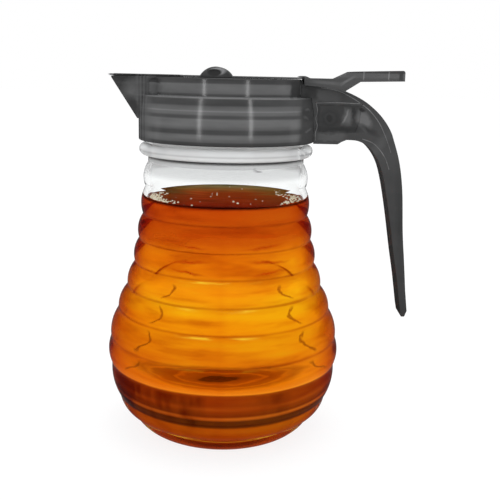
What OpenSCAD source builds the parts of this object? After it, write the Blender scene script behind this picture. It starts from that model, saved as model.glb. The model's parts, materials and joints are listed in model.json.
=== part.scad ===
// Honey dispenser: a ribbed beehive glass jar under a screw-on pouring head.
// The thumb lever draws a steel blade back off the spout, and a spring returns it.
// Millimetres, +Z up. The origin is the centre of the jar's flat base, the jar's axis is Z,
// the spout points to -X and the handle to +X.

/* [Jar] */
// Height of the jar, from its base to its rim
jar_h = 132.9; // [120:0.1:145]
// Radius of the flat face that the jar stands on
base_r = 29.7; // [24:0.1:33]
// Radius of the jar at its widest groove
belly_r = 46.5; // [43:0.1:49]
// Thickness of the glass wall
glass_wall = 2.2; // [2:0.1:4]
// Thickness of the glass floor
glass_floor = 6; // [3:0.1:9]
// Depth of the ring groove in the base, which leaves a bearing ring around a flat middle
base_groove = 0.8; // [0:0.1:2]
// How far each rib swells out past its grooves
rib_bulge = 1.25; // [0:0.05:2]
// Radius of the plain neck and of the finish that carries the thread
neck_r = 31.1; // [30.5:0.1:31.6]
// Radius of the bead under the head
bead_r = 34.6; // [33:0.1:36]
// Height of the bead, along the neck
bead_h = 4.6; // [3:0.1:5]
// Length of the plain neck between the top rib and the bead
neck_l = 3; // [1:0.1:6]
// Depth of the air space between the rim and the honey
headspace = 35.9; // [25:0.1:70]

/* [Thread] */
// Rise of the thread in one turn
thread_pitch = 4.2333; // [3.8:0.0001:5]
// Turns of thread on the jar
jar_turns = 1.5; // [1:0.25:1.75]
// Turns of thread in the head
head_turns = 1.25; // [1:0.25:1.5]
// How far each thread stands from its wall
thread_depth = 1.2; // [0.8:0.05:1.3]
// Height of a thread at its crest
thread_crest = 0.7; // [0.4:0.05:0.9]
// Height of a thread at its wall
thread_root = 1.9; // [1.4:0.05:2.1]
// Clear space between a crest and the wall that it faces
thread_gap = 0.55; // [0.3:0.05:0.9]

/* [Head] */
// Depth of the skirt, from its lower lip to the shoulder
skirt_h = 14.5; // [13:0.1:16]
// Thickness of the skirt's wall
skirt_wall = 1.9; // [1.4:0.1:2.4]
// Gap between the bead and the skirt's lower lip
skirt_lift = 1.3; // [0.5:0.1:3]
// Radius of the rounded shoulder
shoulder_r = 3; // [1:0.1:4]
// Radius of the raised deck
deck_r = 29.4; // [28.9:0.1:29.8]
// Height of the deck above the shoulder's top
deck_h = 6.9; // [6:0.1:8]
// Thickness of the deck's top and wall
deck_wall = 2; // [1.5:0.1:2.6]
// Thickness of the head above the sealing ring
top_wall = 2.4; // [1.8:0.1:3.5]
// Thickness of the sealing ring
gasket_t = 1.2; // [0.8:0.1:2]
// Gap between the sealing ring and the jar's rim
gasket_gap = 0.1; // [0.05:0.05:0.3]

/* [Spout] */
// Distance of the spout's nose from the jar's axis
nose_x = 44.4; // [42:0.1:48]
// Width of the spout at its nose
nose_w = 16.4; // [15.6:0.1:20]
// Width of the spout where it meets the deck
spout_w = 24; // [20:0.5:28]
// How far below the deck's top the spout's foot meets the skirt
spout_drop = 16.1; // [12:0.1:19]
// Width of the spout's foot on the skirt
spout_foot_w = 12; // [8:0.5:16]
// Thickness of the spout's wall
spout_wall = 2; // [1.5:0.1:2.5]
// Length of the pouring slot in the spout's top
slot_l = 12; // [9:0.5:13]

/* [Blade] */
// Width of the steel blade
blade_w = 13; // [10:0.1:13.4]
// Thickness of the blade
blade_t = 0.75; // [0.5:0.05:0.9]
// How far the blade's edge stands past the nose
blade_over = 1.8; // [0.5:0.1:3]
// Radius of the blade's front corners
blade_corner = 2.5; // [1:0.1:4]
// Running clearance around the blade
blade_gap = 0.1; // [0.05:0.01:0.2]
// Travel of the blade from shut to open
blade_travel = 13; // [8:0.5:13]

/* [Keeper] */
// Distance of the keeper's centre in front of the jar's axis
keeper_x = 4.1; // [3.5:0.1:5]
// Width of the keeper along the blade
keeper_w = 13; // [11:0.1:13.5]
// Length of the keeper across the blade
keeper_l = 19; // [18:0.5:21]
// Height of the keeper above the deck
keeper_h = 4.2; // [3.6:0.1:5]
// Radius of the keeper's two pegs
peg_r = 0.9; // [0.7:0.05:1]

/* [Lever] */
// Width of the thumb lever
lever_w = 17; // [15:0.5:20]
// Distance of the lever's rear end from the jar's axis
lever_end_x = 68.4; // [64:0.1:72]
// Height of the thumb plate above the deck
plate_rise = 4.3; // [3.5:0.1:5]
// Thickness of the thumb plate at its rear end
plate_t = 4.2; // [3:0.1:5]
// Length of the thumb plate
plate_l = 19.5; // [15:0.5:21]
// Height of the lever's flat front part above the deck
lever_flat_rise = 1.05; // [1:0.05:1.4]
// Radius of the rivets that hold the blade to the lever
rivet_r = 1; // [0.8:0.05:1.2]
// Distance between the two rivets
rivet_spacing = 7; // [5:0.1:8]

/* [Spring] */
// Outer diameter of the return spring
spring_d = 4; // [3.4:0.1:4.2]
// Diameter of the spring's wire
wire_d = 0.55; // [0.4:0.05:0.6]
// Number of curls in the spring
spring_curls = 8; // [5:1:8]
// Radius of the pin that holds the spring's front end
pin_r = 0.8; // [0.6:0.05:1]

/* [Handle] */
// Width of the handle
handle_w = 12; // [10:0.5:14]
// Radius of the handle's rounded edges
handle_round = 1.5; // [1:0.1:3]
// How far the handle's free end hangs below the deck
handle_drop = 94.5; // [80:0.5:105]
// Clearance between the handle's top and the lever
lever_gap = 0.6; // [0.4:0.05:1]
// Depth of the sunk panel on each side of the handle's root
panel_depth = 1.2; // [0.6:0.1:1.6]
// Radius of the screw that holds the handle
screw_r = 1.5; // [1.2:0.1:1.8]
// Radius of the screw's head
screw_head_r = 2.6; // [2.2:0.1:2.9]
// Clearance between the handle and the head
handle_gap = 0.25; // [0.15:0.05:0.35]

/* [Hidden] */
$fn = 96;
eps = 0.05;

// Colours, as the photograph shows them.
glass_colour = [0.86, 0.9, 0.9, 0.45];
honey_colour = [0.85, 0.45, 0.06];
smoke_colour = [0.26, 0.26, 0.27];
steel_colour = [0.82, 0.83, 0.85];
rubber_colour = [0.75, 0.75, 0.72];

// Heights, from the jar's rim down to its body and up to the deck.
ledge_z = jar_h + gasket_gap + gasket_t;      // the face that the sealing ring lies on
foot_z = ledge_z + top_wall;
deck_z = foot_z + deck_h;
skirt_z = foot_z - shoulder_r + 0.2 - skirt_h;
bead_top = skirt_z - skirt_lift;
bead_z = bead_top - bead_h;
body_h = bead_z - neck_l;
honey_level = jar_h - headspace;

// Grooves between the ribs, from the heel up to the neck, as shares of the jar's flare and of the
// body's height.
groove_shape = [
    [0.448, 0.069], [0.792, 0.137], [0.981, 0.259], [1, 0.351], [0.799, 0.457], [0.552, 0.543],
    [0.351, 0.633], [0.240, 0.722], [0.136, 0.812], [0.071, 0.913], [0, 1],
];
grooves = [for (g = groove_shape) [neck_r + (belly_r - neck_r) * g.x, body_h * g.y]];
last_groove = len(grooves) - 1;
heel_sag = 2.4;
heel_rise = 1.5;
mouth_r = neck_r - glass_wall;
rim_round = glass_wall / 2 - 0.1;
sink = 0.4;                                   // how deep a thread is rooted in its wall

// The head.
bore_r = neck_r + thread_depth + thread_gap;
skirt_r = bore_r + skirt_wall;
deck_in_r = deck_r - deck_wall;
jar_thread_z = bead_top + 2.6;
head_thread_z = jar_thread_z + thread_pitch / 2;

// The blade and its spring.
blade_z = deck_z + blade_gap;
blade_top = blade_z + blade_t;
tail_drop = 0.95;
tail_w = blade_w - 1;
joggle_x = deck_r + 2;
joggle_l = 1.4;
rivet_x = joggle_x + 5.6;
tail_end_x = rivet_x + 4;
rail_h = blade_t + 0.15;
rail_end_x = -18;
channel_w = spring_d + 1.4;
channel_floor = 1.3;
channel_z = blade_z - spring_d - 1.1;
spring_z = blade_z - 0.5 - spring_d / 2;
pin_x = 2;
tab_x = 13.4;
tab_t = blade_t;
tab_w = 3.2;
tab_h = 3.6;
channel_x0 = pin_x - 2 * pin_r;
channel_x1 = tab_x + tab_t + blade_travel + 0.25;
spring_x0 = pin_x + pin_r + eps;
spring_x1 = tab_x - eps;

// The handle, in side view: points that smooth lines run through. Those at the root are given
// outward from the skirt and down from the deck, and those of the hanging part outward from the
// skirt and as shares of the way from the bend down to the free end.
bend_drop = 30;
function root_points(list) = [for (p = list) [skirt_r + p.x, deck_z - p.y]];
function hung_points(list) =
    [for (p = list) [skirt_r + p.x, deck_z - bend_drop - (handle_drop - bend_drop) * p.y]];
handle_back = concat(
    [[deck_r + 0.5, deck_z - 1.5]],
    root_points([[3.75, 2.2], [11.75, 3.7], [18.45, 6.9], [25.25, 12.5], [30.75, 20.5], [34.25, bend_drop]]),
    hung_points([[36.15, 0.194], [37.65, 0.454], [38.85, 0.643], [39.95, 0.829]])
);
handle_tip = hung_points([[40.55, 0.961], [39.65, 1], [38.25, 1]]);
handle_front = concat(
    hung_points([[36.85, 0.947], [34.85, 0.752], [32.85, 0.586], [30.15, 0.333], [27.55, 0.132],
                 [25.15, 0.014]]),
    root_points([[21.45, 25.5], [17.25, 23.2], [12.65, 22.8]])
);
bracket_z = skirt_z - 0.4;
bracket_end_x = skirt_r + 9.15;
lug_end_x = skirt_r + 7.75;
lug_w = 6.5;
lug_z0 = bracket_z + 3.2;
lug_z1 = foot_z - 4.2;
screw_x = skirt_r + 4.45;
screw_l = 9;
screw_head_h = 1.1;
cross_l = 3.2;
cross_w = 0.6;
cross_depth = 0.7;
panel = [for (p = [[1.65, 4.5], [15.75, 4.5], [17.45, 8.6], [18.65, 14.7], [1.65, 14.7]])
    [skirt_r + p.x, bracket_z + p.y]];

// The lever, in side view. Its underside follows the handle's top.
lip_x = deck_r - 1.4;
lip_l = 4.2;
lever_front_x = deck_r + 0.45;
lever_flat_z = deck_z + lever_flat_rise;
plate_z = deck_z + plate_rise;
plate_x0 = lever_end_x - plate_l;
ramp_x0 = plate_x0 - 6.1;
lever_heel = handle_back[2] + [-0.3, lever_gap + 0.15];
lever_sole = handle_back[1] + [-0.5, lever_gap];
lever_toe_z = deck_z - 1;
lever_corner = 3;

// Points on an arc from a to b that stands sag out to the right of the way from a to b.
function arc(a, b, sag, n = 8) =
    let (
        chord = norm(b - a),
        r = (chord * chord / 4 + sag * sag) / (2 * sag),
        along = (b - a) / chord,
        out = [along.y, -along.x],
        centre = (a + b) / 2 + out * (sag - r),
        half = asin(chord / 2 / r)
    )
    [for (i = [0:n]) let (t = -half + 2 * half * i / n) centre + along * r * sin(t) + out * r * cos(t)];

// Points of a smooth line through all of p.
function smooth_line(p, n = 6) =
    let (last = len(p) - 1)
    [for (i = [0:last - 1], k = [0:n - 1])
        let (
            a = p[max(i - 1, 0)], b = p[i], c = p[i + 1], d = p[min(i + 2, last)], t = k / n
        )
        (2 * b + (c - a) * t + (2 * a - 5 * b + 4 * c - d) * t * t
            + (3 * b - a - 3 * c + d) * t * t * t) / 2,
     p[last]];

// One thread: a right-handed ridge whose inner and outer edges are given as [radius, height].
module thread(inner, outer, z0, turns) {
    steps = ceil(36 * turns);
    fade = 4;
    mean = (inner.x + outer.x) / 2;
    rooted_inside = inner.y > outer.y;
    ring = [for (i = [0:steps]) let (
            s = max(0.08, min(1, i / fade, (steps - i) / fade)),
            ri = rooted_inside ? inner.x : outer.x - (outer.x - inner.x) * s,
            ro = rooted_inside ? inner.x + (outer.x - inner.x) * s : outer.x,
            a = 360 * turns * i / steps,
            z = z0 + thread_pitch * turns * i / steps
        )
        each [
            [ri * cos(a), ri * sin(a), z - inner.y / 2], [ro * cos(a), ro * sin(a), z - outer.y / 2],
            [ro * cos(a), ro * sin(a), z + outer.y / 2], [ri * cos(a), ri * sin(a), z + inner.y / 2],
        ]];
    sides = [for (i = [0:steps - 1], k = [0:3])
        let (a = 4 * i + k, b = 4 * i + (k + 1) % 4) each [[a, b, b + 4], [a, b + 4, a + 4]]];
    ends = [[3, 2, 1], [3, 1, 0], [4 * steps, 4 * steps + 1, 4 * steps + 2],
            [4 * steps, 4 * steps + 2, 4 * steps + 3]];
    polyhedron(concat(ring), concat(sides, ends), convexity = 6);
}

function jar_outside() = concat(
    [[0, 0], [base_r - 12, 0], [base_r - 10.5, base_groove], [base_r - 7, base_groove], [base_r - 5, 0]],
    arc([base_r, 0], grooves[0], rib_bulge),
    [for (i = [0:last_groove - 1]) each arc(grooves[i], grooves[i + 1], rib_bulge)],
    [[neck_r, bead_z]],
    arc([bead_r - bead_h / 2, bead_z], [bead_r - bead_h / 2, bead_top], bead_h / 2 - eps, 10),
    [[neck_r, bead_top], [neck_r, jar_h - rim_round]],
    [for (a = [0:15:90]) [neck_r - rim_round + rim_round * cos(a), jar_h - rim_round + rim_round * sin(a)]]
);

// The inside of the jar, less a gap, from the floor up.
function jar_inside(gap = 0) = concat(
    [[0, glass_floor + gap], [base_r, glass_floor + gap]],
    arc([base_r, glass_floor + gap], grooves[1] + [-glass_wall - gap, heel_rise], heel_sag),
    [for (i = [2:last_groove]) each arc(
        i == 2 ? grooves[1] + [-glass_wall - gap, heel_rise] : grooves[i - 1] - [glass_wall + gap, 0],
        grooves[i] - [glass_wall + gap, 0], rib_bulge, 6
    )]
);

module glass_jar() {
    color(glass_colour) {
        rotate_extrude() polygon(concat(
            jar_outside(),
            [for (a = [90:15:180])
                [mouth_r + rim_round + rim_round * cos(a), jar_h - rim_round + rim_round * sin(a)]],
            [for (i = [len(jar_inside()) - 1:-1:0]) jar_inside()[i]]
        ));
        thread([neck_r - sink, thread_root], [neck_r + thread_depth, thread_crest], jar_thread_z, jar_turns);
    }
}

module honey_fill() {
    wall = jar_inside(eps);
    below = [for (p = wall) if (p.y < honey_level) p];
    low = below[len(below) - 1];
    high = wall[len(below)];
    edge_r = low.x + (high.x - low.x) * (honey_level - low.y) / (high.y - low.y);
    color(honey_colour) rotate_extrude() polygon(concat(below, [[edge_r, honey_level], [0, honey_level]]));
}

module jar_gasket() {
    color(rubber_colour) translate([0, 0, ledge_z - gasket_t]) difference() {
        cylinder(h = gasket_t, r = bore_r - 0.3);
        translate([0, 0, -eps]) cylinder(h = gasket_t + 2 * eps, r = mouth_r - 0.4);
    }
}

// The skirt, the shoulder and the raised deck as one turned shell, open below.
module head_shell() {
    rotate_extrude() polygon(concat(
        [[bore_r + 0.5, skirt_z], [skirt_r - 0.5, skirt_z], [skirt_r, skirt_z + 0.5]],
        [for (a = [0:15:90]) [skirt_r - shoulder_r * (1 - cos(a)), foot_z - shoulder_r * (1 - sin(a))]],
        [[deck_r, foot_z], [deck_r, deck_z - 0.6], [deck_r - 0.6, deck_z], [0, deck_z],
         [0, deck_z - deck_wall], [deck_in_r, deck_z - deck_wall], [deck_in_r, ledge_z],
         [bore_r, ledge_z], [bore_r, skirt_z + 0.5]]
    ));
}

// A wedge between the nose, the deck and the spout's foot on the skirt.
module spout_wedge() {
    hull() {
        translate([-nose_x, -nose_w / 2, deck_z - 0.5]) cube([nose_x - deck_in_r, nose_w, 0.5]);
        translate([-nose_x + 1, -nose_w / 2 + 0.4, deck_z - 1.9]) cube([1, nose_w - 0.8, 1]);
        translate([-deck_in_r - 0.5, -spout_w / 2, foot_z]) cube([1, spout_w, deck_h]);
        translate([-skirt_r, -spout_foot_w / 2, deck_z - spout_drop]) cube([0.5, spout_foot_w, 0.5]);
        translate([-skirt_r + 1.5, -spout_w / 2 + 2, deck_z - spout_drop]) cube([1, spout_w - 4, 4]);
    }
}

module spout_passage() {
    hull() {
        translate([-nose_x + spout_wall, -(nose_w / 2 - spout_wall), deck_z - 0.4])
            cube([slot_l, nose_w - 2 * spout_wall, 2]);
        translate([-nose_x + 3.2 * spout_wall, -spout_w / 2 + 2.5 * spout_wall, ledge_z + 1.8])
            cube([nose_x - 3.2 * spout_wall - deck_in_r + 5, spout_w - 5 * spout_wall, 0.4]);
    }
}

module cap_body() {
    rail_w = (nose_w - blade_w) / 2 - 0.2;
    color(smoke_colour) difference() {
        union() {
            head_shell();
            difference() {
                spout_wedge();
                translate([0, 0, skirt_z - eps]) cylinder(h = ledge_z - skirt_z + eps, r = bore_r + 0.5);
                translate([0, 0, skirt_z]) cylinder(h = deck_z - deck_wall - skirt_z, r = deck_in_r);
            }
            for (s = [-1, 1])
                translate([-nose_x + 0.9, s * (nose_w - rail_w) / 2 - rail_w / 2, deck_z - eps])
                    cube([nose_x + rail_end_x - 0.9, rail_w, rail_h + eps]);
            translate([channel_x0 - deck_wall, -channel_w / 2 - deck_wall, channel_z - channel_floor])
                cube([channel_x1 - channel_x0 + 1.5 * deck_wall, channel_w + 2 * deck_wall,
                      deck_z - channel_z + channel_floor - 0.2]);
            for (s = [-1, 1])
                translate([-keeper_x, s * keeper_peg_y(), deck_z - 4.2]) cylinder(h = 4, r = peg_r + 1.3);
            handle_lug();
        }
        spout_passage();
        translate([channel_x0, -channel_w / 2, channel_z])
            cube([channel_x1 - channel_x0, channel_w, deck_z - channel_z + 1]);
        for (s = [-1, 1])
            translate([-keeper_x, s * keeper_peg_y(), deck_z - 3]) cylinder(h = 4, r = peg_r + eps, $fn = 32);
        translate([pin_x, 0, channel_z - 0.9]) cylinder(h = 2, r = pin_r + 0.02, $fn = 32);
        translate([screw_x, 0, lug_z0 - 1]) cylinder(h = screw_l, r = screw_r + 0.03, $fn = 48);
    }
    color(smoke_colour)
        thread(
            [bore_r - thread_depth, thread_crest], [bore_r + sink, thread_root], head_thread_z, head_turns
        );
}

function keeper_peg_y() = (blade_w + keeper_l) / 4 + blade_gap / 2;

module handle_lug() {
    difference() {
        translate([bore_r + 0.7, -lug_w / 2, lug_z0])
            cube([lug_end_x - bore_r - 0.7, lug_w, lug_z1 - lug_z0]);
        translate([0, 0, skirt_z]) cylinder(h = ledge_z - skirt_z, r = bore_r + 0.5);
    }
}

// A bridge over the blade, a segment of a round bar, on two pegs.
module blade_keeper() {
    tunnel = blade_w / 2 + blade_gap;
    arc_r = (keeper_w * keeper_w / 4 + keeper_h * keeper_h) / (2 * keeper_h);
    color(smoke_colour) {
        difference() {
            translate([-keeper_x, 0, deck_z]) intersection() {
                translate([0, keeper_l / 2, keeper_h - arc_r]) rotate([90, 0, 0])
                    cylinder(h = keeper_l, r = arc_r, $fn = 96);
                translate([-keeper_w, -keeper_l, 0]) cube([2 * keeper_w, 2 * keeper_l, keeper_h + 1]);
            }
            translate([-keeper_x - keeper_w, -tunnel, deck_z - 1])
                cube([2 * keeper_w, 2 * tunnel, blade_gap + blade_t + blade_gap + 1]);
            for (s = [-1, 1])
                translate([-keeper_x, s * keeper_l / 2, deck_z + 2.1]) keeper_window();
        }
        for (s = [-1, 1])
            translate([-keeper_x, s * keeper_peg_y(), deck_z - 2.6]) cylinder(h = 2.8, r = peg_r, $fn = 32);
    }
}

// The oval recess in each end of the keeper.
module keeper_window() {
    rotate([90, 0, 0]) for (x = [-1.3, 1.3])
        translate([x, 0, -1.5]) cylinder(h = 3, r = 0.8, $fn = 32);
    translate([-1.3, -1.5, -0.8]) cube([2.6, 3, 1.6]);
}

module spring_pin() {
    color(steel_colour) translate([pin_x, 0, channel_z - 0.8])
        cylinder(h = spring_z + spring_d / 2 - 0.2 - channel_z + 0.8, r = pin_r, $fn = 32);
}

// Centre line of the spring's wire: straight ends, with the curls between them.
function spring_path() =
    let (
        r = (spring_d - wire_d) / 2,
        lead = 1.2 * wire_d,
        x0 = spring_x0 + lead,
        x1 = spring_x1 - lead,
        n = 8 * spring_curls
    )
    concat(
        [[spring_x0, 0, r]],
        [for (i = [0:n]) let (a = 360 * i / 8) [x0 + (x1 - x0) * i / n, r * sin(a), r * cos(a)]],
        [[spring_x1, 0, r]]
    );
spring_points = spring_path();
coil_gap = min([for (i = [0:len(spring_points) - 1], k = [i + 5:len(spring_points) - 1])
    norm(spring_points[i] - spring_points[k])]) - wire_d;
echo(least_gap_of_the_spring_to_itself = coil_gap);

module return_spring() {
    p = spring_points;
    last = len(p) - 1;
    ring = [for (i = [0:last]) let (
            ahead = p[min(i + 1, last)] - p[max(i - 1, 0)],
            t = ahead / norm(ahead),
            side = cross(t, [0, 0, 1]) / norm(cross(t, [0, 0, 1])),
            up = cross(side, t)
        )
        each [for (k = [0:5]) p[i] + wire_d / 2 * (side * cos(60 * k) + up * sin(60 * k))]];
    sides = [for (i = [0:last - 1], k = [0:5])
        let (a = 6 * i + k, b = 6 * i + (k + 1) % 6) each [[a, a + 6, b + 6], [a, b + 6, b]]];
    ends = concat(
        [for (k = [1:4]) [0, k, k + 1]],
        [for (k = [1:4]) [6 * last, 6 * last + k + 1, 6 * last + k]]
    );
    color(steel_colour) translate([0, 0, spring_z]) polyhedron(ring, concat(sides, ends), convexity = 10);
}

// The blade in plan, with its front corners rounded.
module blade_plan(x1) {
    x0 = -nose_x - blade_over;
    for (s = [-1, 1])
        translate([x0 + blade_corner, s * (blade_w / 2 - blade_corner)]) circle(r = blade_corner, $fn = 48);
    translate([x0 + blade_corner, -blade_w / 2]) square([x1 - x0 - blade_corner, blade_w]);
    translate([x0, -blade_w / 2 + blade_corner]) square([blade_corner + eps, blade_w - 2 * blade_corner]);
}

module slide_blade() {
    tail_z = blade_z - tail_drop;
    color(steel_colour) difference() {
        union() {
            translate([0, 0, blade_z]) linear_extrude(blade_t) blade_plan(joggle_x);
            translate([0, tail_w / 2, 0]) rotate([90, 0, 0]) linear_extrude(tail_w) polygon([
                [joggle_x - 0.3, blade_z], [joggle_x, blade_z], [joggle_x + joggle_l, tail_z],
                [tail_end_x, tail_z], [tail_end_x, tail_z + blade_t],
                [joggle_x + joggle_l + 0.1, tail_z + blade_t], [joggle_x + 0.1, blade_top],
                [joggle_x - 0.3, blade_top],
            ]);
            translate([tab_x, -tab_w / 2, blade_z - tab_h]) cube([tab_t, tab_w, tab_h + 2 * eps]);
        }
        rivet_places() translate([0, 0, tail_z - 1]) cylinder(h = 3, r = rivet_r + 0.03, $fn = 48);
    }
}

module rivet_places() {
    for (s = [-1, 1]) translate([rivet_x, s * rivet_spacing / 2, 0]) children();
}

module blade_rivets() {
    color(steel_colour) rivet_places() {
        translate([0, 0, deck_z - 1.6]) cylinder(h = lever_flat_rise + 1.6 - 0.1, r = rivet_r, $fn = 48);
        translate([0, 0, lever_flat_z - 0.3])
            cylinder(h = 0.5, r1 = rivet_r + 0.5, r2 = rivet_r + 0.3, $fn = 48);
    }
}

module lever_side() {
    r = 0.9;
    polygon(concat(
        [[lip_x, blade_top + eps], [lip_x + 0.2, blade_top + 0.5]],
        arc([lip_x + 0.2, blade_top + 0.5], [lip_x + lip_l - 0.6, lever_flat_z + 0.35], -0.55, 6),
        [[lip_x + lip_l, lever_flat_z], [ramp_x0, lever_flat_z], [plate_x0, plate_z - 0.5]],
        [[plate_x0 + 1.5, plate_z - 0.3], [lever_end_x - r, plate_z]],
        [for (a = [75:-15:0]) [lever_end_x - r + r * cos(a), plate_z - r + r * sin(a)]],
        [[lever_end_x, plate_z - plate_t], [plate_x0 + 4, plate_z - plate_t - 0.5], lever_heel, lever_sole,
         [lever_front_x, lever_toe_z], [lever_front_x, blade_top + eps]]
    ));
}

module thumb_lever() {
    tail_z = blade_z - tail_drop;
    color(smoke_colour) difference() {
        translate([0, lever_w / 2, 0]) rotate([90, 0, 0]) linear_extrude(lever_w) lever_side();
        // the pocket for the blade's tail
        translate([lip_x - 1, -blade_w / 2 - eps, tail_z - eps])
            cube([tail_end_x - lip_x + 1.1, blade_w + 2 * eps, blade_t + 2 * eps]);
        translate([lip_x - 1, -blade_w / 2 - eps, tail_z - eps])
            cube([joggle_x + joggle_l - lip_x + 1.2, blade_w + 2 * eps, blade_top - tail_z + 2 * eps]);
        rivet_places() translate([0, 0, deck_z - 4]) cylinder(h = 8, r = rivet_r + 0.03, $fn = 48);
        rivet_places() translate([0, 0, lever_flat_z - 0.35]) cylinder(h = 1, r = rivet_r + 0.6, $fn = 48);
        // rounded corners of the thumb plate, in plan
        for (s = [-1, 1])
            translate([lever_end_x - lever_corner, s * (lever_w / 2 - lever_corner), plate_z - 2 * plate_t])
                difference() {
                    translate([0, s < 0 ? -lever_corner - 1 : 0, 0])
                        cube([lever_corner + 1, lever_corner + 1, 3 * plate_t]);
                    translate([0, 0, -1]) cylinder(h = 3 * plate_t + 2, r = lever_corner, $fn = 48);
                }
    }
}

module handle_side() {
    polygon(concat(
        smooth_line(handle_back), handle_tip, smooth_line(handle_front),
        [[bracket_end_x + 1.4, bracket_z + 0.9], [bracket_end_x, bracket_z], [skirt_r - 3, bracket_z],
         [skirt_r - 3, foot_z - 2], [deck_r + 0.5, foot_z - 2]]
    ));
}

module handle() {
    r = handle_round;
    color(smoke_colour) difference() {
        minkowski() {
            translate([0, handle_w / 2 - r, 0]) rotate([90, 0, 0]) linear_extrude(handle_w - 2 * r)
                offset(delta = -r * 0.92) handle_side();
            sphere(r = r, $fn = 16);
        }
        // the saddle that fits round the skirt, the shoulder and the deck
        translate([0, 0, bracket_z - 5])
            cylinder(h = foot_z + handle_gap - bracket_z + 5, r = skirt_r + handle_gap);
        translate([0, 0, foot_z - 1]) cylinder(h = 2 * deck_h, r = deck_r + handle_gap);
        // the socket for the lug
        translate([skirt_r - 2, -lug_w / 2 - handle_gap, lug_z0 - handle_gap])
            cube([lug_end_x - skirt_r + 2 + handle_gap, lug_w + 2 * handle_gap,
                  lug_z1 - lug_z0 + 2 * handle_gap]);
        translate([screw_x, 0, bracket_z - 1]) cylinder(h = 6, r = screw_r + 0.2, $fn = 48);
        translate([screw_x, 0, bracket_z - 1]) cylinder(h = 2.4, r = screw_head_r + 0.2, $fn = 48);
        for (s = [-1, 1]) translate([0, s * (handle_w / 2 - panel_depth / 2) + 1, 0]) rotate([90, 0, 0])
            linear_extrude(2) polygon(panel);
    }
}

module handle_screw() {
    color(steel_colour) translate([screw_x, 0, bracket_z + 0.3]) difference() {
        union() {
            cylinder(h = screw_head_h, r = screw_head_r, $fn = 48);
            cylinder(h = screw_l + 1, r = screw_r, $fn = 48);
        }
        for (a = [0, 90]) rotate([0, 0, a]) translate([-cross_l / 2, -cross_w / 2, -eps])
            cube([cross_l, cross_w, cross_depth + eps]);
    }
}

glass_jar();
honey_fill();
jar_gasket();
cap_body();
blade_keeper();
spring_pin();
return_spring();
slide_blade();
thumb_lever();
blade_rivets();
handle();
handle_screw();
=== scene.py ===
import json
import math
import random

import bmesh
import bpy
from mathutils import Matrix, Vector

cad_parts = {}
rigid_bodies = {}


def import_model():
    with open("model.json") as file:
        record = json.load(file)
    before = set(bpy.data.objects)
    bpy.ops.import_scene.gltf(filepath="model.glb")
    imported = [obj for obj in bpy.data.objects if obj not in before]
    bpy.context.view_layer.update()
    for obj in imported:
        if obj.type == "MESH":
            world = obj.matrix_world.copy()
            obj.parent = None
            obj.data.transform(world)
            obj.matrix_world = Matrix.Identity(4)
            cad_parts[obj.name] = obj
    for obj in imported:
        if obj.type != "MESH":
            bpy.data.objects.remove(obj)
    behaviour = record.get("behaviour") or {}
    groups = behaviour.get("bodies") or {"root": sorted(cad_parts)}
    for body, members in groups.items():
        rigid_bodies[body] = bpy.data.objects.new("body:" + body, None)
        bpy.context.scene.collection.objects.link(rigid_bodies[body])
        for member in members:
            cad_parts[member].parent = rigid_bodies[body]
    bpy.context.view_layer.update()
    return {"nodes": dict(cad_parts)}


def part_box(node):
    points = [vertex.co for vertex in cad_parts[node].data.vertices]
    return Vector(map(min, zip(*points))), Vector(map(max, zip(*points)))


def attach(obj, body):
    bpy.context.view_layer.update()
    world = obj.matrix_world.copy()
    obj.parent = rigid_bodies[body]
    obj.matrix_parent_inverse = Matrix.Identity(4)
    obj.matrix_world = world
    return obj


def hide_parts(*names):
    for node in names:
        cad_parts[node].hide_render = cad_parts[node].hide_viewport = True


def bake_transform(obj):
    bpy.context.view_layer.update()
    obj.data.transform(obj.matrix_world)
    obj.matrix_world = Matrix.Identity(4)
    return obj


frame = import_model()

scene = bpy.context.scene
scene.view_settings.view_transform = "Standard"
mm = 0.001
bothSides = (-1, 1)

# Levels that the frame fixes, in mm.
leverTop = 4.3                             # above the deck
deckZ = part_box("thumb_lever")[1].z / mm - leverTop
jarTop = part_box("glass_jar")[1].z / mm
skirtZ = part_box("cap_body")[0].z / mm
print("frame loaded: deck", round(deckZ, 2), "jar", round(jarTop, 2), "skirt", round(skirtZ, 2))


# Outlines, in mm.

def arcPoints(a, b, sag, count=10):        # stands sag out to the right of the way from a to b
    chord = math.dist(a, b)
    radius = (chord * chord / 4 + sag * sag) / (2 * sag)
    along = ((b[0] - a[0]) / chord, (b[1] - a[1]) / chord)
    out = (along[1], -along[0])
    centre = ((a[0] + b[0]) / 2 + out[0] * (sag - radius), (a[1] + b[1]) / 2 + out[1] * (sag - radius))
    half = math.asin(chord / 2 / radius)
    turns = [-half + 2 * half * i / count for i in range(count + 1)]
    return [tuple(centre[k] + along[k] * radius * math.sin(t) + out[k] * radius * math.cos(t)
                  for k in (0, 1)) for t in turns]


def roundCorner(centre, radius, start, stop, count=5):
    turns = [math.radians(start + (stop - start) * i / count) for i in range(count + 1)]
    return [(centre[0] + radius * math.cos(t), centre[1] + radius * math.sin(t)) for t in turns]


def smoothLine(points, count=6):           # a smooth line through all the points
    line = []
    last = len(points) - 1
    for i in range(last):
        a, b, c, d = points[max(i - 1, 0)], points[i], points[i + 1], points[min(i + 2, last)]
        for k in range(count):
            t = k / count
            line.append(tuple((2 * b[j] + (c[j] - a[j]) * t + (2 * a[j] - 5 * b[j] + 4 * c[j] - d[j]) * t * t
                               + (3 * b[j] - a[j] - 3 * c[j] + d[j]) * t ** 3) / 2 for j in (0, 1)))
    return line + [points[last]]


# Shapes.

def onlyVerts(made):
    return [v for v in made if isinstance(v, bmesh.types.BMVert)]


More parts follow.
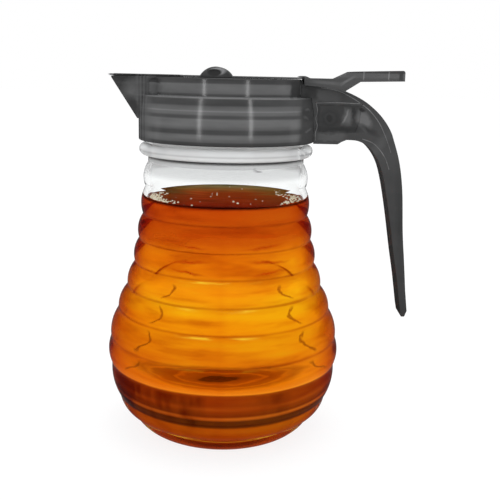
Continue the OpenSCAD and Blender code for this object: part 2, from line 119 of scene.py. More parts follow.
def spinOutline(bm, outline, steps=128):
    rim = [bm.verts.new((r * mm, 0, z * mm)) for r, z in outline]
    edges = [bm.edges.new(pair) for pair in zip(rim, rim[1:])] + [bm.edges.new((rim[-1], rim[0]))]
    bmesh.ops.spin(bm, geom=rim + edges, cent=(0, 0, 0), axis=(0, 0, 1), angle=math.tau, steps=steps,
                   use_merge=True)
    bmesh.ops.remove_doubles(bm, verts=bm.verts, dist=1e-7)
    bmesh.ops.delete(bm, geom=[e for e in bm.edges if not e.link_faces], context="EDGES")


def extrude(bm, corners, way):             # a face, made thick along way
    face = bm.faces.new([bm.verts.new([c * mm for c in corner]) for corner in corners])
    made = bmesh.ops.extrude_face_region(bm, geom=[face])["geom"]
    bmesh.ops.translate(bm, vec=[c * mm for c in way], verts=onlyVerts(made))


def extrudeSide(bm, outline, width, y=0):  # an outline in X and Z, made width wide across Y
    extrude(bm, [(x, y - width / 2, z) for x, z in outline], (0, width, 0))


def ribbon(bm, points, width, y, depth):   # a thin raised line on a side face
    line = smoothLine(points, 5)
    left, right = [], []
    for i, p in enumerate(line):
        a, b = line[max(i - 1, 0)], line[min(i + 1, len(line) - 1)]
        along = Vector((b[0] - a[0], b[1] - a[1])).normalized() * width / 2
        left.append((p[0] - along.y, p[1] + along.x))
        right.append((p[0] + along.y, p[1] - along.x))
    extrudeSide(bm, left + right[::-1], depth, y)


def block(bm, low, high):
    size = [(b - a) * mm for a, b in zip(low, high)]
    middle = [(a + b) / 2 * mm for a, b in zip(low, high)]
    bmesh.ops.create_cube(bm, size=1, matrix=Matrix.Translation(middle) @ Matrix.Diagonal((*size, 1)))


def tube(bm, x, y, z0, height, radius, segments=40):
    place = Matrix.Translation((x * mm, y * mm, (z0 + height / 2) * mm))
    bmesh.ops.create_cone(bm, cap_ends=True, segments=segments, radius1=radius * mm, radius2=radius * mm,
                          depth=height * mm, matrix=place)


def runsAlong(edge, axis):
    return abs((edge.verts[0].co - edge.verts[1].co).normalized()[axis]) > 0.9


def roundEdges(bm, width, segments=3, angle=30, keep=lambda edge: True):
    limit = math.radians(angle)
    bm.normal_update()
    sharp = [e for e in bm.edges
             if len(e.link_faces) == 2 and e.calc_face_angle(0) > limit and keep(e)]
    bmesh.ops.bevel(bm, geom=sharp, offset=width * mm, offset_type="OFFSET", segments=segments, profile=0.5,
                    affect="EDGES", clamp_overlap=True, material=-1)


def meshObject(name, bm, *materials):      # the shape as an object, and the shape is given up
    mesh = bpy.data.meshes.new(name)
    bm.to_mesh(mesh)
    bm.free()
    for material in materials:
        mesh.materials.append(material)
    made = bpy.data.objects.new(name, mesh)
    scene.collection.objects.link(made)
    return made


def finishPiece(name, bm, body, slotName, *materials, nodes=(), angle=35):
    bmesh.ops.recalc_face_normals(bm, faces=bm.faces)
    limit = math.radians(angle)
    for face in bm.faces:
        face.smooth = True
    for edge in bm.edges:
        edge.smooth = len(edge.link_faces) != 2 or edge.calc_face_angle(0) < limit
    piece = meshObject(name, bm, *materials)
    if body:
        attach(piece, body)
    for node in nodes:
        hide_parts(node)
    return piece


def carve(bm, cutters):                    # takes the closed shapes in cutters out of bm
    made = []
    for i, shape in enumerate([bm] + cutters):
        bmesh.ops.recalc_face_normals(shape, faces=shape.faces)
        made.append(meshObject("carve" + str(i), shape))
    base = made[0]
    for cutter in made[1:]:
        cut = base.modifiers.new("cut", "BOOLEAN")
        cut.operation = "DIFFERENCE"
        cut.solver = "EXACT"
        cut.object = cutter
    bpy.context.view_layer.update()
    ready = base.evaluated_get(bpy.context.evaluated_depsgraph_get())
    result = bmesh.new()
    result.from_mesh(ready.to_mesh())
    ready.to_mesh_clear()
    for item in made:
        mesh = item.data
        bpy.data.objects.remove(item)
        bpy.data.meshes.remove(mesh)
    bmesh.ops.remove_doubles(result, verts=result.verts, dist=2e-6)
    return result


# Materials.

def grey(level, tint=0.0):
    return (level, level, level * (1 + tint))


def seen(red, green, blue):                # a colour as it looks on a screen, 0 to 255
    return tuple(((c / 255 + 0.055) / 1.055) ** 2.4 for c in (red, green, blue))


white = grey(1)


class Nodes:                               # a small hand for building a node tree
    def __init__(self, tree):
        self.tree = tree

    def add(self, kind, **values):         # sets attributes by their name, and else sockets
        made = self.tree.nodes.new("ShaderNode" + kind)
        for key, value in values.items():
            if hasattr(made, key):
                setattr(made, key, value)
            else:
                made.inputs[key.replace("_", " ")].default_value = value
        return made

    def join(self, a, b):
        self.tree.links.new(a, b)

    def put(self, value, socket):          # a constant sits on the socket itself
        if isinstance(value, (int, float, tuple)):
            socket.default_value = value
        else:
            self.join(value, socket)

    def putAll(self, made, *values):
        for value, socket in zip(values, made.inputs):
            self.put(value, socket)
        return made.outputs[0]

    def parts(self, vector):               # its X, Y and Z
        split = self.add("SeparateXYZ")
        self.join(vector, split.inputs[0])
        return tuple(split.outputs)

    def fit(self, source, low, high, start=0.0, end=1.0):   # low to high becomes start to end
        made = self.add("MapRange", From_Min=low, From_Max=high, To_Min=start, To_Max=end)
        self.join(source, made.inputs["Value"])
        return made.outputs[0]

    def ramp(self, source, low, high, stops):
        made = self.add("ValToRGB")
        elements = made.color_ramp.elements
        for i, (at, colour) in ((0, stops[0]), (1, stops[-1])):
            elements[i].position, elements[i].color = at, (*colour, 1)
        for at, colour in stops[1:-1]:
            elements.new(at).color = (*colour, 1)
        self.join(self.fit(source, low, high), made.inputs["Fac"])
        return made.outputs["Color"]

    def greys(self, source, low, high, stops):
        return self.ramp(source, low, high, [(at, grey(level)) for at, level in stops])

    def math(self, kind, *values):
        return self.putAll(self.add("Math", operation=kind), *values)

    def product(self, a, b):
        return self.math("MULTIPLY", a, b)

    def layer(self, share, a, b):          # shader a, and b as far as share says
        return self.putAll(self.add("MixShader"), share, a, b)

    def end(self, shader, kind="OutputMaterial"):
        self.join(shader, self.add(kind).inputs["Surface"])


class Finish(Nodes):                       # one material, on the object's own coordinates
    def __init__(self, name):
        self.material = bpy.data.materials.new(name)
        self.material.use_nodes = True
        super().__init__(self.material.node_tree)
        self.shader = self.tree.nodes["Principled BSDF"]
        self.place = self.add("TexCoord").outputs["Object"]
        self.x, self.y, self.z = self.parts(self.place)

    def noise(self, scale, detail=3, stretch=(1, 1, 1)):
        mapping = self.add("Mapping", Scale=stretch)
        self.join(self.place, mapping.inputs["Vector"])
        made = self.add("TexNoise", Scale=scale, Detail=detail)
        self.join(mapping.outputs[0], made.inputs["Vector"])
        return made.outputs["Fac"]

    def mix(self, a, b, share, blend="MIX"):
        made = self.add("Mix", data_type="RGBA", blend_type=blend)
        for value, socket in ((share, 0), (a, 6), (b, 7)):
            self.put(value, made.inputs[socket])
        return made.outputs[2]

    def times(self, a, b, share=1.0):      # a, made darker or lighter by b
        return self.mix(a, b, share, "MULTIPLY")

    def patch(self, x, z, wide, high, turn, soft, kind):   # 1 in a place on the side faces, 0 outside it
        mapping = self.add("Mapping", vector_type="TEXTURE", Location=(x * mm, 0, z * mm),
                           Rotation=(0, math.radians(turn), 0),
                           Scale=(wide / 2 * mm, 1000, high / 2 * mm))
        self.join(self.swayed, mapping.inputs["Vector"])
        if kind == "square":
            acrossAndUp = self.parts(mapping.outputs[0])[::2]
            far = self.math("MAXIMUM", *[self.math("ABSOLUTE", part) for part in acrossAndUp])
        else:
            length = self.add("VectorMath", operation="LENGTH")
            self.join(mapping.outputs[0], length.inputs[0])
            far = length.outputs["Value"]
        return self.fit(far, 1 + soft / 2, 1 - soft)

    def shade(self, colour, patches, sway, side):   # lighter and darker places, more than side mm out
        ripple = self.add("TexNoise", Scale=330)
        self.join(self.place, ripple.inputs["Vector"])
        middle = self.putAll(self.add("VectorMath", operation="SUBTRACT"), ripple.outputs["Color"],
                             (0.5, 0.5, 0.5))
        self.swayed = self.putAll(self.add("VectorMath", operation="MULTIPLY_ADD"), middle, (sway, 0.0, sway),
                                  self.place)
        outside = self.math("GREATER_THAN", self.math("ABSOLUTE", self.y), side * mm)
        for *form, tone in patches:
            shown = tone if isinstance(tone, tuple) else grey(tone)
            colour = self.mix(colour, (*shown, 1), self.product(self.patch(*form), outside))
        return colour

    def bump(self, source, height, strength=0.3):
        made = self.add("Bump", Strength=strength, Distance=height)
        self.join(source, made.inputs["Height"])
        self.join(made.outputs[0], self.shader.inputs["Normal"])

    def set(self, **values):
        for key, value in values.items():
            self.put(value, self.shader.inputs[key.replace("_", " ")])


glassClear, shadedNeckGlass = (0.965, 0.975, 0.972), (0.74, 0.745, 0.745)
glassLook = {
    "tone": [                              # amber at the foot, where the honey shows through the thick base, lighter in a painted glint band and darker in painted shade; the greyer neck and the dark and grey lines at the bead are painted shade
        (0, (0.42, 0.19, 0.008)), (0.006, (0.75, 0.36, 0.02)), (0.024, (0.8, 0.4, 0.02)),
        (0.034, (0.5, 0.2, 0.006)), (0.055, (0.6, 0.24, 0.01)), (0.072, glassClear), (0.702, glassClear),
        (0.714, shadedNeckGlass), (0.747, shadedNeckGlass), (0.7505, grey(0.1)), (0.7545, grey(0.06)),
        (0.7585, glassClear), (0.766, glassClear), (0.769, grey(0.6)), (0.772, glassClear), (1, glassClear)],
    "haze": (0.1055, 0.109),
    "marks": [                             # small grey marks in the neck
        (12.6, 110.0, 2.8, 0.4, 12, 0.5, "square", 0.3), (11.2, 110.7, 1.4, 0.3, -30, 0.5, "square", 0.45),
        (29.4, 109.4, 0.9, 2.6, -20, 0.6, "round", 0.4), (28.8, 107.8, 0.7, 1.8, 15, 0.6, "round", 0.5),
        (-29.6, 109.0, 1.0, 4.0, 8, 0.8, "round", 0.7), (-26.0, 110.5, 4.0, 0.5, 4, 0.8, "round", 0.75)],
}


def clearGlass(name, bend, haze):
    f = Finish(name)
    tone = f.shade(f.ramp(f.z, 0, 0.15, glassLook["tone"]), glassLook["marks"], 0.0014, 0)
    dull = f.greys(f.z, *glassLook["haze"], [(0, 1), (1, 1 - haze)])
    f.set(Base_Color=tone, Transmission_Weight=dull, IOR=bend, Roughness=0.0)
    f.bump(f.noise(28, 2, (1, 1, 2.2)), 0.00035, 0.1)
    return f.material


def wettedGlass():                         # where honey lies on the glass, light passes straight on
    f = Finish("wettedGlass")
    f.set(Base_Color=f.ramp(f.noise(30), 0.3, 0.7, [(0, (0.99, 0.99, 0.985)), (1, white)]),
          Transmission_Weight=1.0, IOR=1.002, Roughness=0.0)
    return f.material


honeyLook = {
    "tone": [                              # height in mm and the colour there: the amber, with painted shade low down and at the top, and painted bright bands between
        (0, 158, 78, 6), (6, 178, 88, 10), (11, 158, 72, 8), (13.2, 150, 62, 5), (14.2, 80, 32, 4),
        (17.2, 78, 30, 4), (18.2, 150, 66, 16), (18.9, 150, 66, 16), (19.6, 96, 32, 4), (21.6, 114, 40, 5),
        (22.8, 134, 52, 10), (24.4, 116, 40, 5), (27.2, 128, 44, 5), (28.1, 150, 58, 8),
        (28.9, 236, 130, 34), (31.5, 230, 120, 14), (34, 236, 124, 14), (38.3, 238, 126, 14),
        (39.5, 236, 128, 16), (46, 242, 144, 16), (52, 240, 142, 12), (58, 243, 160, 16),
        (66, 242, 142, 18), (72, 226, 118, 12), (80, 222, 108, 14), (84, 198, 78, 12),
        (95.6, 190, 66, 12), (95.9, 180, 52, 14), (96.2, 70, 12, 6), (96.9, 40, 4, 4)],
    "half": 0.0465,
    "grooves": (15.1, 28.4, 38.8, 50.5, 59.9, 69.9, 79.7, 89.6), "line": (0.6, 0.36, 0.33),
    "glints": (38.0, 49.7, 59.1, 69.1), "glint": (1.0, 0.55, 0.06, 1),
    "glintReach": [(0, 1), (0.2, 1), (0.36, 0)],
    # painted shade: darker and redder towards both ends across X
    "sides": [(0, (0.45, 0.22, 0.2)), (0.03, (0.72, 0.42, 0.4)), (0.2, (0.92, 0.78, 0.72)), (0.36, white),
              (0.48, (0.99, 0.93, 0.9)), (0.5, (0.97, 0.88, 0.85)), (0.53, (1, 0.97, 0.95)),
              (0.75, (1, 1.08, 1)), (0.9, (0.98, 1, 1)), (0.965, (0.9, 0.75, 0.7)), (1, (0.45, 0.25, 0.2))],
    "streaks": [(0, (0.84, 0.66, 0.6)), (0.35, (0.96, 0.9, 0.9)), (0.6, white), (1, (1, 1.12, 1.15))],
    "turned": [(0, white), (0.4, (0.94, 0.82, 0.8)), (0.7, (0.7, 0.42, 0.36)), (1, (0.4, 0.18, 0.15))],
    "flank": [(0, 0), (0.38, 0), (0.56, 1), (0.7, 1), (0.85, 0)], "flankGain": (1.1, 1.3, 1.2, 1),
    "upper": [(0, 0), (0.6, 0), (0.66, 1), (0.79, 1), (0.86, 0)],
    "heel": [(0, 0), (0.12, 0.3), (0.17, 1), (0.265, 1), (0.285, 0)],
    "heelMarks": [(0, (0.5, 0.3, 0.3)), (0.5, white), (1, (1.25, 1.3, 1.2))],
    "soft": [(0, (0.8, 0.6, 0.55)), (0.45, white), (1, (1.03, 1.14, 1.2))],
    "softReach": [(0, 0), (0.3, 0), (0.4, 0.7), (1, 0.7)],
    "clearFrom": (0.026, 0.040, 0.0, 0.62), "heelGain": (1.5, 1.6, 1.2, 1), "steep": 1.6,
    "gain": (1.08, 1.4, 1.6, 1), "within": (1.0, 0.5, 0.05, 1),
    "marks": [(x, z, wide, high, turn * s, 0.9, "round", seen(188, 62, 8))
              for z, left, right, wide, high, turn in (
                  (86.0, -11.5, 15.5, 12, 1.3, 5), (81.8, -11.5, 15.5, 11, 1.2, -5),
                  (76.2, -12.5, 17.0, 13, 1.2, 5), (72.2, -12.5, 17.0, 11, 1.0, -5))
              for s, x in ((-1, left), (1, right))],
    "lens": {"x": 29.0, "z": 4.1, "at": 35.5, "ragged": 0.35, "rings": [
        (0, (0.14, 0.05, 0.05)), (0.19, (0.16, 0.08, 0.05)), (0.24, (0.42, 0.26, 0.22)),
        (0.38, (0.54, 0.36, 0.3)), (0.44, (0.75, 0.58, 0.5)), (0.5, (0.5, 0.32, 0.3)),
        (0.66, (0.56, 0.4, 0.3)), (0.72, (0.8, 0.68, 0.6)), (0.8, (0.64, 0.5, 0.4)), (1, white)]},
    "caustic": {"x": 23.7, "middle": 2.0, "at": 60.0, "slope": 0.46, "sway": 1.7, "pitch": 9.7, "width": 0.75,
                "ragged": 0.003, "tone": (0.3, 0.045, 0.002, 1), "share": 0.75, "fade": 1.2,
                "spans": ((31, 37.5), (40, 49.4), (51.6, 59.0), (61.2, 67.5))},
    "radius": ((0, 27), (7.6, 36), (15.1, 41), (28.4, 44.3), (38.8, 44.3), (50.5, 41.2), (59.9, 37.4),
               (69.9, 34.3), (79.7, 32.6), (89.6, 31.2), (97, 30.2)),
}


def amberHoney():
    f = Finish("amberHoney")
    look, x, z = honeyLook, f.x, f.z
    apart = f.math("ABSOLUTE", x)

    def alongZ(stops):                     # heights in mm, up to 100
        return f.ramp(z, 0, 0.1, [(at / 100, tone) for at, tone in stops])

    body = alongZ([(at, seen(*tone)) for at, *tone in look["tone"]])
    # painted shade: a thin dark line at each groove, broken up by noise
    lines = [(0, white)]
    for at in look["grooves"]:
        lines += [(at - 0.8, white), (at, look["line"]), (at + 0.5, white)]
    uneven = f.greys(f.noise(40, 2, (1, 1, 3)), 0.3, 0.62, [(0, 0.3), (1, 1)])
    body = f.times(body, alongZ(lines + [(100, white)]), uneven)
    # painted shade: darker and redder towards the left and right ends
    body = f.times(body, f.ramp(x, -look["half"], look["half"], look["sides"]))
    body = f.times(body, f.ramp(f.noise(30, 4, (1, 1, 9)), 0.32, 0.68, look["streaks"]))
    # painted shade: darker where the wall turns away
    wide = alongZ([(at, grey(reach / 50)) for at, reach in look["radius"]])
    body = f.times(body, f.ramp(f.math("DIVIDE", f.product(apart, 20), wide), 0.8, 1.05, look["turned"]))
    # painted light: its sides are lighter in the upper ribs, and short painted glints lie under the grooves
    flank = f.greys(apart, 0, look["half"], look["flank"])
    body = f.times(body, look["flankGain"], f.product(flank, f.greys(z, 0, 0.1, look["upper"])))
    bright = [(0, grey(0))]
    for at in look["glints"]:
        bright += [(at - 0.7, grey(0)), (at - 0.2, white), (at, white), (at + 0.4, grey(0))]
    middle = f.greys(f.math("ABSOLUTE", f.math("ADD", x, 0.001)), 0, look["half"], look["glintReach"])
    broken = f.greys(f.noise(90, 2, (1, 1, 6)), 0.42, 0.56, [(0, 0), (1, 1)])
    body = f.mix(body, look["glint"], f.product(f.product(alongZ(bright), middle), broken))
    # dark upright marks in the heel, and soft brown bands across the ribs
    marks = f.ramp(f.noise(75, 3, (1, 1, 0.3)), 0.36, 0.56, look["heelMarks"])
    body = f.times(body, marks, f.greys(z, 0, 0.1, look["heel"]))
    soft = f.ramp(f.noise(34, 3, (1, 1, 4.5)), 0.36, 0.6, look["soft"])
    body = f.times(body, soft, f.greys(z, 0, 0.1, look["softReach"]))
    # painted shade: the base, seen through the honey as a dark lens with lighter rings
    lens = look["lens"]
    flat = f.product(x, 1000 / lens["x"])
    tall = f.product(f.math("SUBTRACT", z, lens["at"] * mm), 1000 / lens["z"])
    far = f.math("SQRT", f.math("ADD", f.product(flat, flat), f.product(tall, tall)))
    ragged = f.math("SUBTRACT", f.noise(120, 2, (1, 1, 5)), 0.5)
    far = f.math("ADD", far, f.product(ragged, lens["ragged"]))
    body = f.times(body, f.ramp(far, 0, 1.2, lens["rings"]))
    # thin wavy lines where the ribs behind bend the light
    wave = look["caustic"]
    sway = f.product(f.math("SINE", f.product(z, math.tau * 1000 / wave["pitch"])), wave["sway"] * mm)
    run = f.product(f.math("SUBTRACT", wave["at"] * mm, z), wave["slope"])
    aside = f.math("ABSOLUTE", f.math("SUBTRACT", x, wave["middle"] * mm))
    off = f.math("SUBTRACT", aside, f.math("ADD", f.math("ADD", run, wave["x"] * mm), sway))
    off = f.math("ADD", off, f.product(f.math("SUBTRACT", f.noise(300, 2), 0.5), wave["ragged"]))
    thin = f.greys(f.math("ABSOLUTE", off), 0, wave["width"] * mm, [(0, 1), (0.4, 0.9), (1, 0)])
    spans = [(0, grey(0))]
    for low, high in wave["spans"]:
        spans += [(low, grey(0)), (low + wave["fade"], white), (high - wave["fade"], white), (high, grey(0))]
    body = f.mix(body, wave["tone"], f.product(thin, f.product(alongZ(spans), wave["share"])))
    body = f.shade(body, look["marks"], 0.0016, 0)
    # light passes it twice, so the colour is steepened, and from within it is clear and even
    steep = f.add("Gamma", Gamma=look["steep"])
    f.join(f.times(body, look["gain"]), steep.inputs["Color"])
    above = f.fit(z, *look["clearFrom"])
    within = f.add("NewGeometry").outputs["Backfacing"]
    share = f.math("DIVIDE", above, look["clearFrom"][3])
    outer = f.mix(f.times(body, look["heelGain"]), steep.outputs[0], share)
    f.set(Base_Color=f.mix(outer, look["within"], within),
          Transmission_Weight=f.math("MAXIMUM", within, above), IOR=1.002, Roughness=0.0)
    return f.material


honeyTopLook = {
    "half": 0.0315,
    # painted light, from the darker front to the olive back
    "depth": [(0, seen(60, 10, 6)), (0.05, seen(100, 22, 10)), (0.16, seen(196, 58, 24)),
              (0.45, seen(240, 92, 34)), (0.66, seen(240, 98, 38)), (0.82, seen(214, 130, 62)),
              (1, seen(160, 146, 96))],
    "edge": [(0, (0.35, 0.5, 0.6)), (0.16, (0.5, 0.75, 0.8)), (0.3, (0.95, 1, 1)), (0.62, white),
             (0.76, (0.75, 1.0, 1)), (1, (0.5, 0.8, 0.8))],
}


def honeySurface():                        # painted light: dark red in front, and olive at the back
    f = Finish("honeySurface")
    look = honeyTopLook
    half = look["half"]
    tone = f.times(f.ramp(f.y, -half, half, look["depth"]), f.ramp(f.x, -half, half, look["edge"]))
    drift = f.greys(f.noise(70, 4, (1, 2.5, 1)), 0.3, 0.7, [(0, 0.75), (1, 1.2)])
    f.set(Base_Color=f.times(tone, drift), Specular_IOR_Level=0.0, Roughness=0.3)
    f.bump(f.noise(260, 3), 0.0002, 0.1)
    return f.material


def airBubble():
    f = Finish("airBubble")
    tone = f.ramp(f.noise(500, 2), 0.35, 0.65, [(0, (0.8, 0.66, 0.42)), (1, (1, 0.95, 0.8))])
    # a faint painted glow keeps the froth bright
    f.set(Base_Color=tone, IOR=1.33, Roughness=f.fit(f.noise(900), 0, 1, 0.05, 0.15),
          Emission_Color=(1, 0.93, 0.7, 1), Emission_Strength=0.22)
    return f.material


plasticLook = {
    "reach": {"head": (0.0018, 8), "handle": (0.0024, 5.4), "lever": (0.0003, 8.3), "keeper": (0.0006, 9.0)},
    "shine": [(0, 0.5), (0.25, 0.4), (0.45, 0.06), (0.6, 0.0), (1, 0.0)],
    # height in mm and the grey there: painted reflection bands, light and dark, up the skirt and the deck
    # wall
    "head": [(skirtZ, 0.03), (skirtZ + 0.5, 0.036), (120.5, 0.045), (121.0, 0.09), (122.3, 0.118),
             (123.2, 0.108), (123.8, 0.05), (124.9, 0.052), (125.6, 0.09), (126.8, 0.12), (128.8, 0.125),
             (129.4, 0.062), (130.1, 0.062), (130.7, 0.11), (131.5, 0.12), (131.8, 0.17), (132.2, 0.12),
             (133.4, 0.10), (134.0, 0.055), (136.0, 0.058), (136.45, 0.15), (136.75, 0.15), (137.0, 0.066),
             (137.6, 0.075), (138.1, 0.12), (141.2, 0.125), (141.7, 0.06), (142.9, 0.05), (deckZ, 0.045)],
    # handle lighter towards the top; painted highlight bands on the lever and the keeper
    "handle": [(50, 0.045), (75, 0.05), (105, 0.055), (118, 0.065), (136, 0.068), (142, 0.06)],
    "lever": [(139, 0.06), (144.2, 0.075), (145.0, 0.10), (146.2, 0.10), (146.7, 0.05), (147.8, 0.045)],
    "keeper": [(deckZ, 0.06), (deckZ + 2.6, 0.085), (deckZ + 3.4, 0.075), (deckZ + 4.3, 0.045)],
    # across the head, where the moulding turns away: painted reflection streaks and painted shade, the grey
    # there, and how far it takes over
    "half": 0.035,
    "headSides": [(0, 0.035), (0.015, 0.10), (0.024, 0.04), (0.031, 0.11), (0.043, 0.045), (0.051, 0.11),
                  (0.062, 0.06), (0.068, 0.105), (0.09, 0.10), (0.2, 0.09), (0.5, 0.08), (0.9, 0.06),
                  (0.93, 0.05), (0.96, 0.04), (0.975, 0.055), (1, 0.04)],
    "headShare": [(0, 0), (0.76, 0), (0.86, 0.75), (1, 0.85)],
    # patches: place, size, turn, softness, kind and grey; they are painted highlights and painted shade, the
    # handle's dark panel as shade in its recess
    "handlePatches": [
        (41.0, 121.6, 11.5, 2.8, 0, 0.25, "square", 0.095),
        (43.6, 129.2, 17.0, 10.6, 0, 0.12, "square", 0.05),
        (40.4, 129.0, 7.0, 6.6, 0, 0.6, "round", 0.03), (40.4, 129.0, 4.4, 4.2, 0, 0.4, "round", 0.055),
        (40.4, 129.0, 3.2, 3.0, 0, 0.4, "round", 0.03), (47.3, 129.3, 3.6, 6.4, 8, 0.6, "square", 0.13),
        (46.6, 129.6, 0.9, 5.0, 20, 0.5, "square", 0.2), (49.8, 131.4, 1.6, 4.6, -10, 0.5, "square", 0.035),
        (53.8, 128.2, 5.4, 8.6, -30, 0.45, "round", 0.15), (53.2, 132.4, 3.0, 1.6, 35, 0.5, "round", 0.03),
        (56.0, 124.6, 9.0, 2.2, 30, 0.7, "round", 0.04), (36.0, 129.0, 1.2, 11.0, 0, 0.6, "square", 0.04),
        (44.0, 124.7, 17.0, 2.0, 0, 0.7, "square", 0.035), (39.5, 137.6, 9.0, 4.6, 0, 0.25, "square", 0.085),
        (33.0, 138.6, 5.0, 5.4, 0, 0.4, "square", 0.045), (60.5, 119.0, 3.4, 12.0, 35, 0.9, "round", 0.085),
        (70.2, 88.0, 3.0, 40.0, -5, 0.9, "round", 0.04)],
    "leverPatches": [
        (52.5, 145.5, 0.45, 3.0, 0, 0.5, "square", 0.2), (62.1, 145.5, 0.45, 3.0, 0, 0.5, "square", 0.2),
        (46.6, 143.6, 1.0, 6.0, 58, 0.6, "square", 0.14), (38.0, 142.6, 11.0, 1.2, 4, 0.5, "square", 0.10),
        (66.8, 145.6, 1.6, 4.0, 0, 0.4, "square", 0.045)],
    "keeperPatches": [
        (-3.4, deckZ + 2.5, 6.4, 2.9, 0, 0.25, "round", 0.34),
        (-4.7, deckZ + 2.0, 5.6, 2.6, 0, 0.2, "round", 0.045)],
    "headPatches": [
        (-36.2, 138.6, 7.0, 9.0, 30, 0.7, "round", 0.115), (-35.6, 132.6, 3.6, 9.0, -32, 0.7, "round", 0.04),
        (27.4, 140.2, 6.6, 7.0, 0, 0.2, "square", 0.045), (28.6, 139.4, 0.5, 4.6, 0, 0.4, "square", 0.18),
        (31.5, 127.0, 6.4, 17.0, 0, 0.3, "square", 0.055), (30.4, 129.5, 2.4, 1.2, 25, 0.5, "round", 0.085),
        (31.6, 124.6, 2.8, 1.0, -20, 0.5, "round", 0.09), (31.0, 132.4, 2.2, 0.9, 10, 0.5, "round", 0.085),
        (-27.0, 138.6, 2.4, 4.4, 0, 0.4, "square", 0.12), (-27.4, 142.0, 5.2, 1.6, 0, 0.5, "square", 0.04)],
}


def smokyPlastic(piece, gloss, streak=(1, 1, 6)):
    f = Finish(piece + "Plastic")
    look = plasticLook
    shine = f.greys(f.add("LayerWeight").outputs["Facing"], 0, 1, look["shine"])
    stops = look[piece]
    low, high = stops[0][0], stops[-1][0]
    # the grey by height and across, and the patches, are painted light and painted shade
    tone = f.greys(f.z, low * mm, high * mm, [((z - low) / (high - low), level) for z, level in stops])
    if piece + "Sides" in look:
        half = look["half"]
        tone = f.mix(tone, f.greys(f.x, -half, half, look[piece + "Sides"]),
                     f.greys(f.math("ABSOLUTE", f.x), 0, half, look[piece + "Share"]))
    tone = f.shade(tone, look[piece + "Patches"], *look["reach"][piece])
    drift = f.greys(f.noise(45, 4, streak), 0.25, 0.75, [(0, 0.78), (1, 1.16)])
    f.set(Base_Color=f.times(tone, drift), Roughness=f.fit(f.noise(160, 3), 0, 1, *gloss),
          Specular_IOR_Level=shine)
    f.bump(f.noise(1600, 2), 0.00002, 0.12)
    return f.material


def brightLine(name):                      # moulding lines, painted lighter than the plastic as highlights
    f = Finish(name)
    f.set(Base_Color=f.greys(f.noise(240, 3), 0.3, 0.7, [(0, 0.10), (1, 0.24)]),
          Roughness=f.fit(f.noise(300), 0, 1, 0.2, 0.35))
    f.bump(f.noise(900, 2), 0.00002, 0.1)
    return f.material


def brightSteel(name, grain=(1, 40, 40), gloss=(0.12, 0.26), level=0.78):
    f = Finish(name)
    lines = f.noise(300, 3, grain)
    f.set(Base_Color=f.ramp(lines, 0.3, 0.7, [(0, grey(level * 0.9)), (1, grey(level, 0.02))]), Metallic=1.0,
          Roughness=f.fit(lines, 0, 1, *gloss))
    f.bump(lines, 0.00001, 0.2)
    return f.material


def sealRubber():
    f = Finish("sealRubber")
    f.set(Base_Color=f.ramp(f.noise(220, 4), 0.3, 0.7, [(0, (0.5, 0.5, 0.47)), (1, (0.6, 0.6, 0.57))]),
          Roughness=f.fit(f.noise(400), 0, 1, 0.5, 0.7))
    f.bump(f.noise(1800, 2), 0.00003, 0.3)
    return f.material


glass = clearGlass("clearGlass", 1.1, 0.12)
beadGlass = clearGlass("beadGlass", 1.03, 0.5)
wetted = wettedGlass()
honey = amberHoney()
honeyTop = honeySurface()
bubble = airBubble()
headPlastic = smokyPlastic("head", (0.09, 0.17))
handlePlastic = smokyPlastic("handle", (0.12, 0.22), (1, 1, 2))
leverPlastic = smokyPlastic("lever", (0.1, 0.2))
keeperPlastic = smokyPlastic("keeper", (0.1, 0.2), (3, 3, 3))
ridgeHighlightPlastic = brightLine("ridgeHighlightPlastic")
bladeSteel = brightSteel("bladeSteel")
fixingSteel = brightSteel("fixingSteel", (30, 30, 4), (0.2, 0.35), 0.6)
rubber = sealRubber()
print("materials made")


# The jar and what is in it.

jar = {
    "base": 29.7, "wall": 2.2, "floor": 6.0, "bulge": 1.25, "heelRise": 1.5, "heelSag": 2.4,
    "foot": ((12, 0), (10.5, 0.8), (7, 0.8), (5, 0)),   # steps inside the base, and their heights
    "neck": 31.1, "belly": 46.5, "bodyH": 110.4, "bead": 34.6, "beadZ": 113.4, "beadH": 4.6, "rimRound": 1.0,
    # grooves between the ribs, from the heel up, as shares of the flare and of the body's height
    "shape": [(0.448, 0.069), (0.792, 0.137), (0.981, 0.259), (1, 0.351), (0.799, 0.457), (0.552, 0.543),
              (0.351, 0.633), (0.240, 0.722), (0.136, 0.812), (0.071, 0.913), (0, 1)],
    "steps": 160,
}
grooves = [(jar["neck"] + (jar["belly"] - jar["neck"]) * flare, jar["bodyH"] * high)
           for flare, high in jar["shape"]]
fill = {"level": 96.2, "edge": 97.0, "gap": 0.02, "creep": 2.4}
thread = {"pitch": 4.2333, "depth": 1.2, "crest": 0.7, "root": 1.9, "jarTurns": 1.5, "headTurns": 1.25,
          "above": 2.6, "sink": 0.4, "perTurn": 48}


def jarOutside():
    ribs = []
    for a, b in zip(grooves, grooves[1:]):
        ribs += arcPoints(a, b, jar["bulge"])[1:]
    beadR = jar["bead"] - jar["beadH"] / 2
    beadTop = jar["beadZ"] + jar["beadH"]
    rim = jar["rimRound"]
    return ([(0, 0)] + [(jar["base"] - back, high) for back, high in jar["foot"]]
            + arcPoints((jar["base"], 0), grooves[0], jar["bulge"]) + ribs
            + [(jar["neck"], jar["beadZ"])]
            + arcPoints((beadR, jar["beadZ"]), (beadR, beadTop), jar["beadH"] / 2 - 0.05, 12)
            + [(jar["neck"], beadTop)] + roundCorner((jar["neck"] - rim, jarTop - rim), rim, 0, 90))


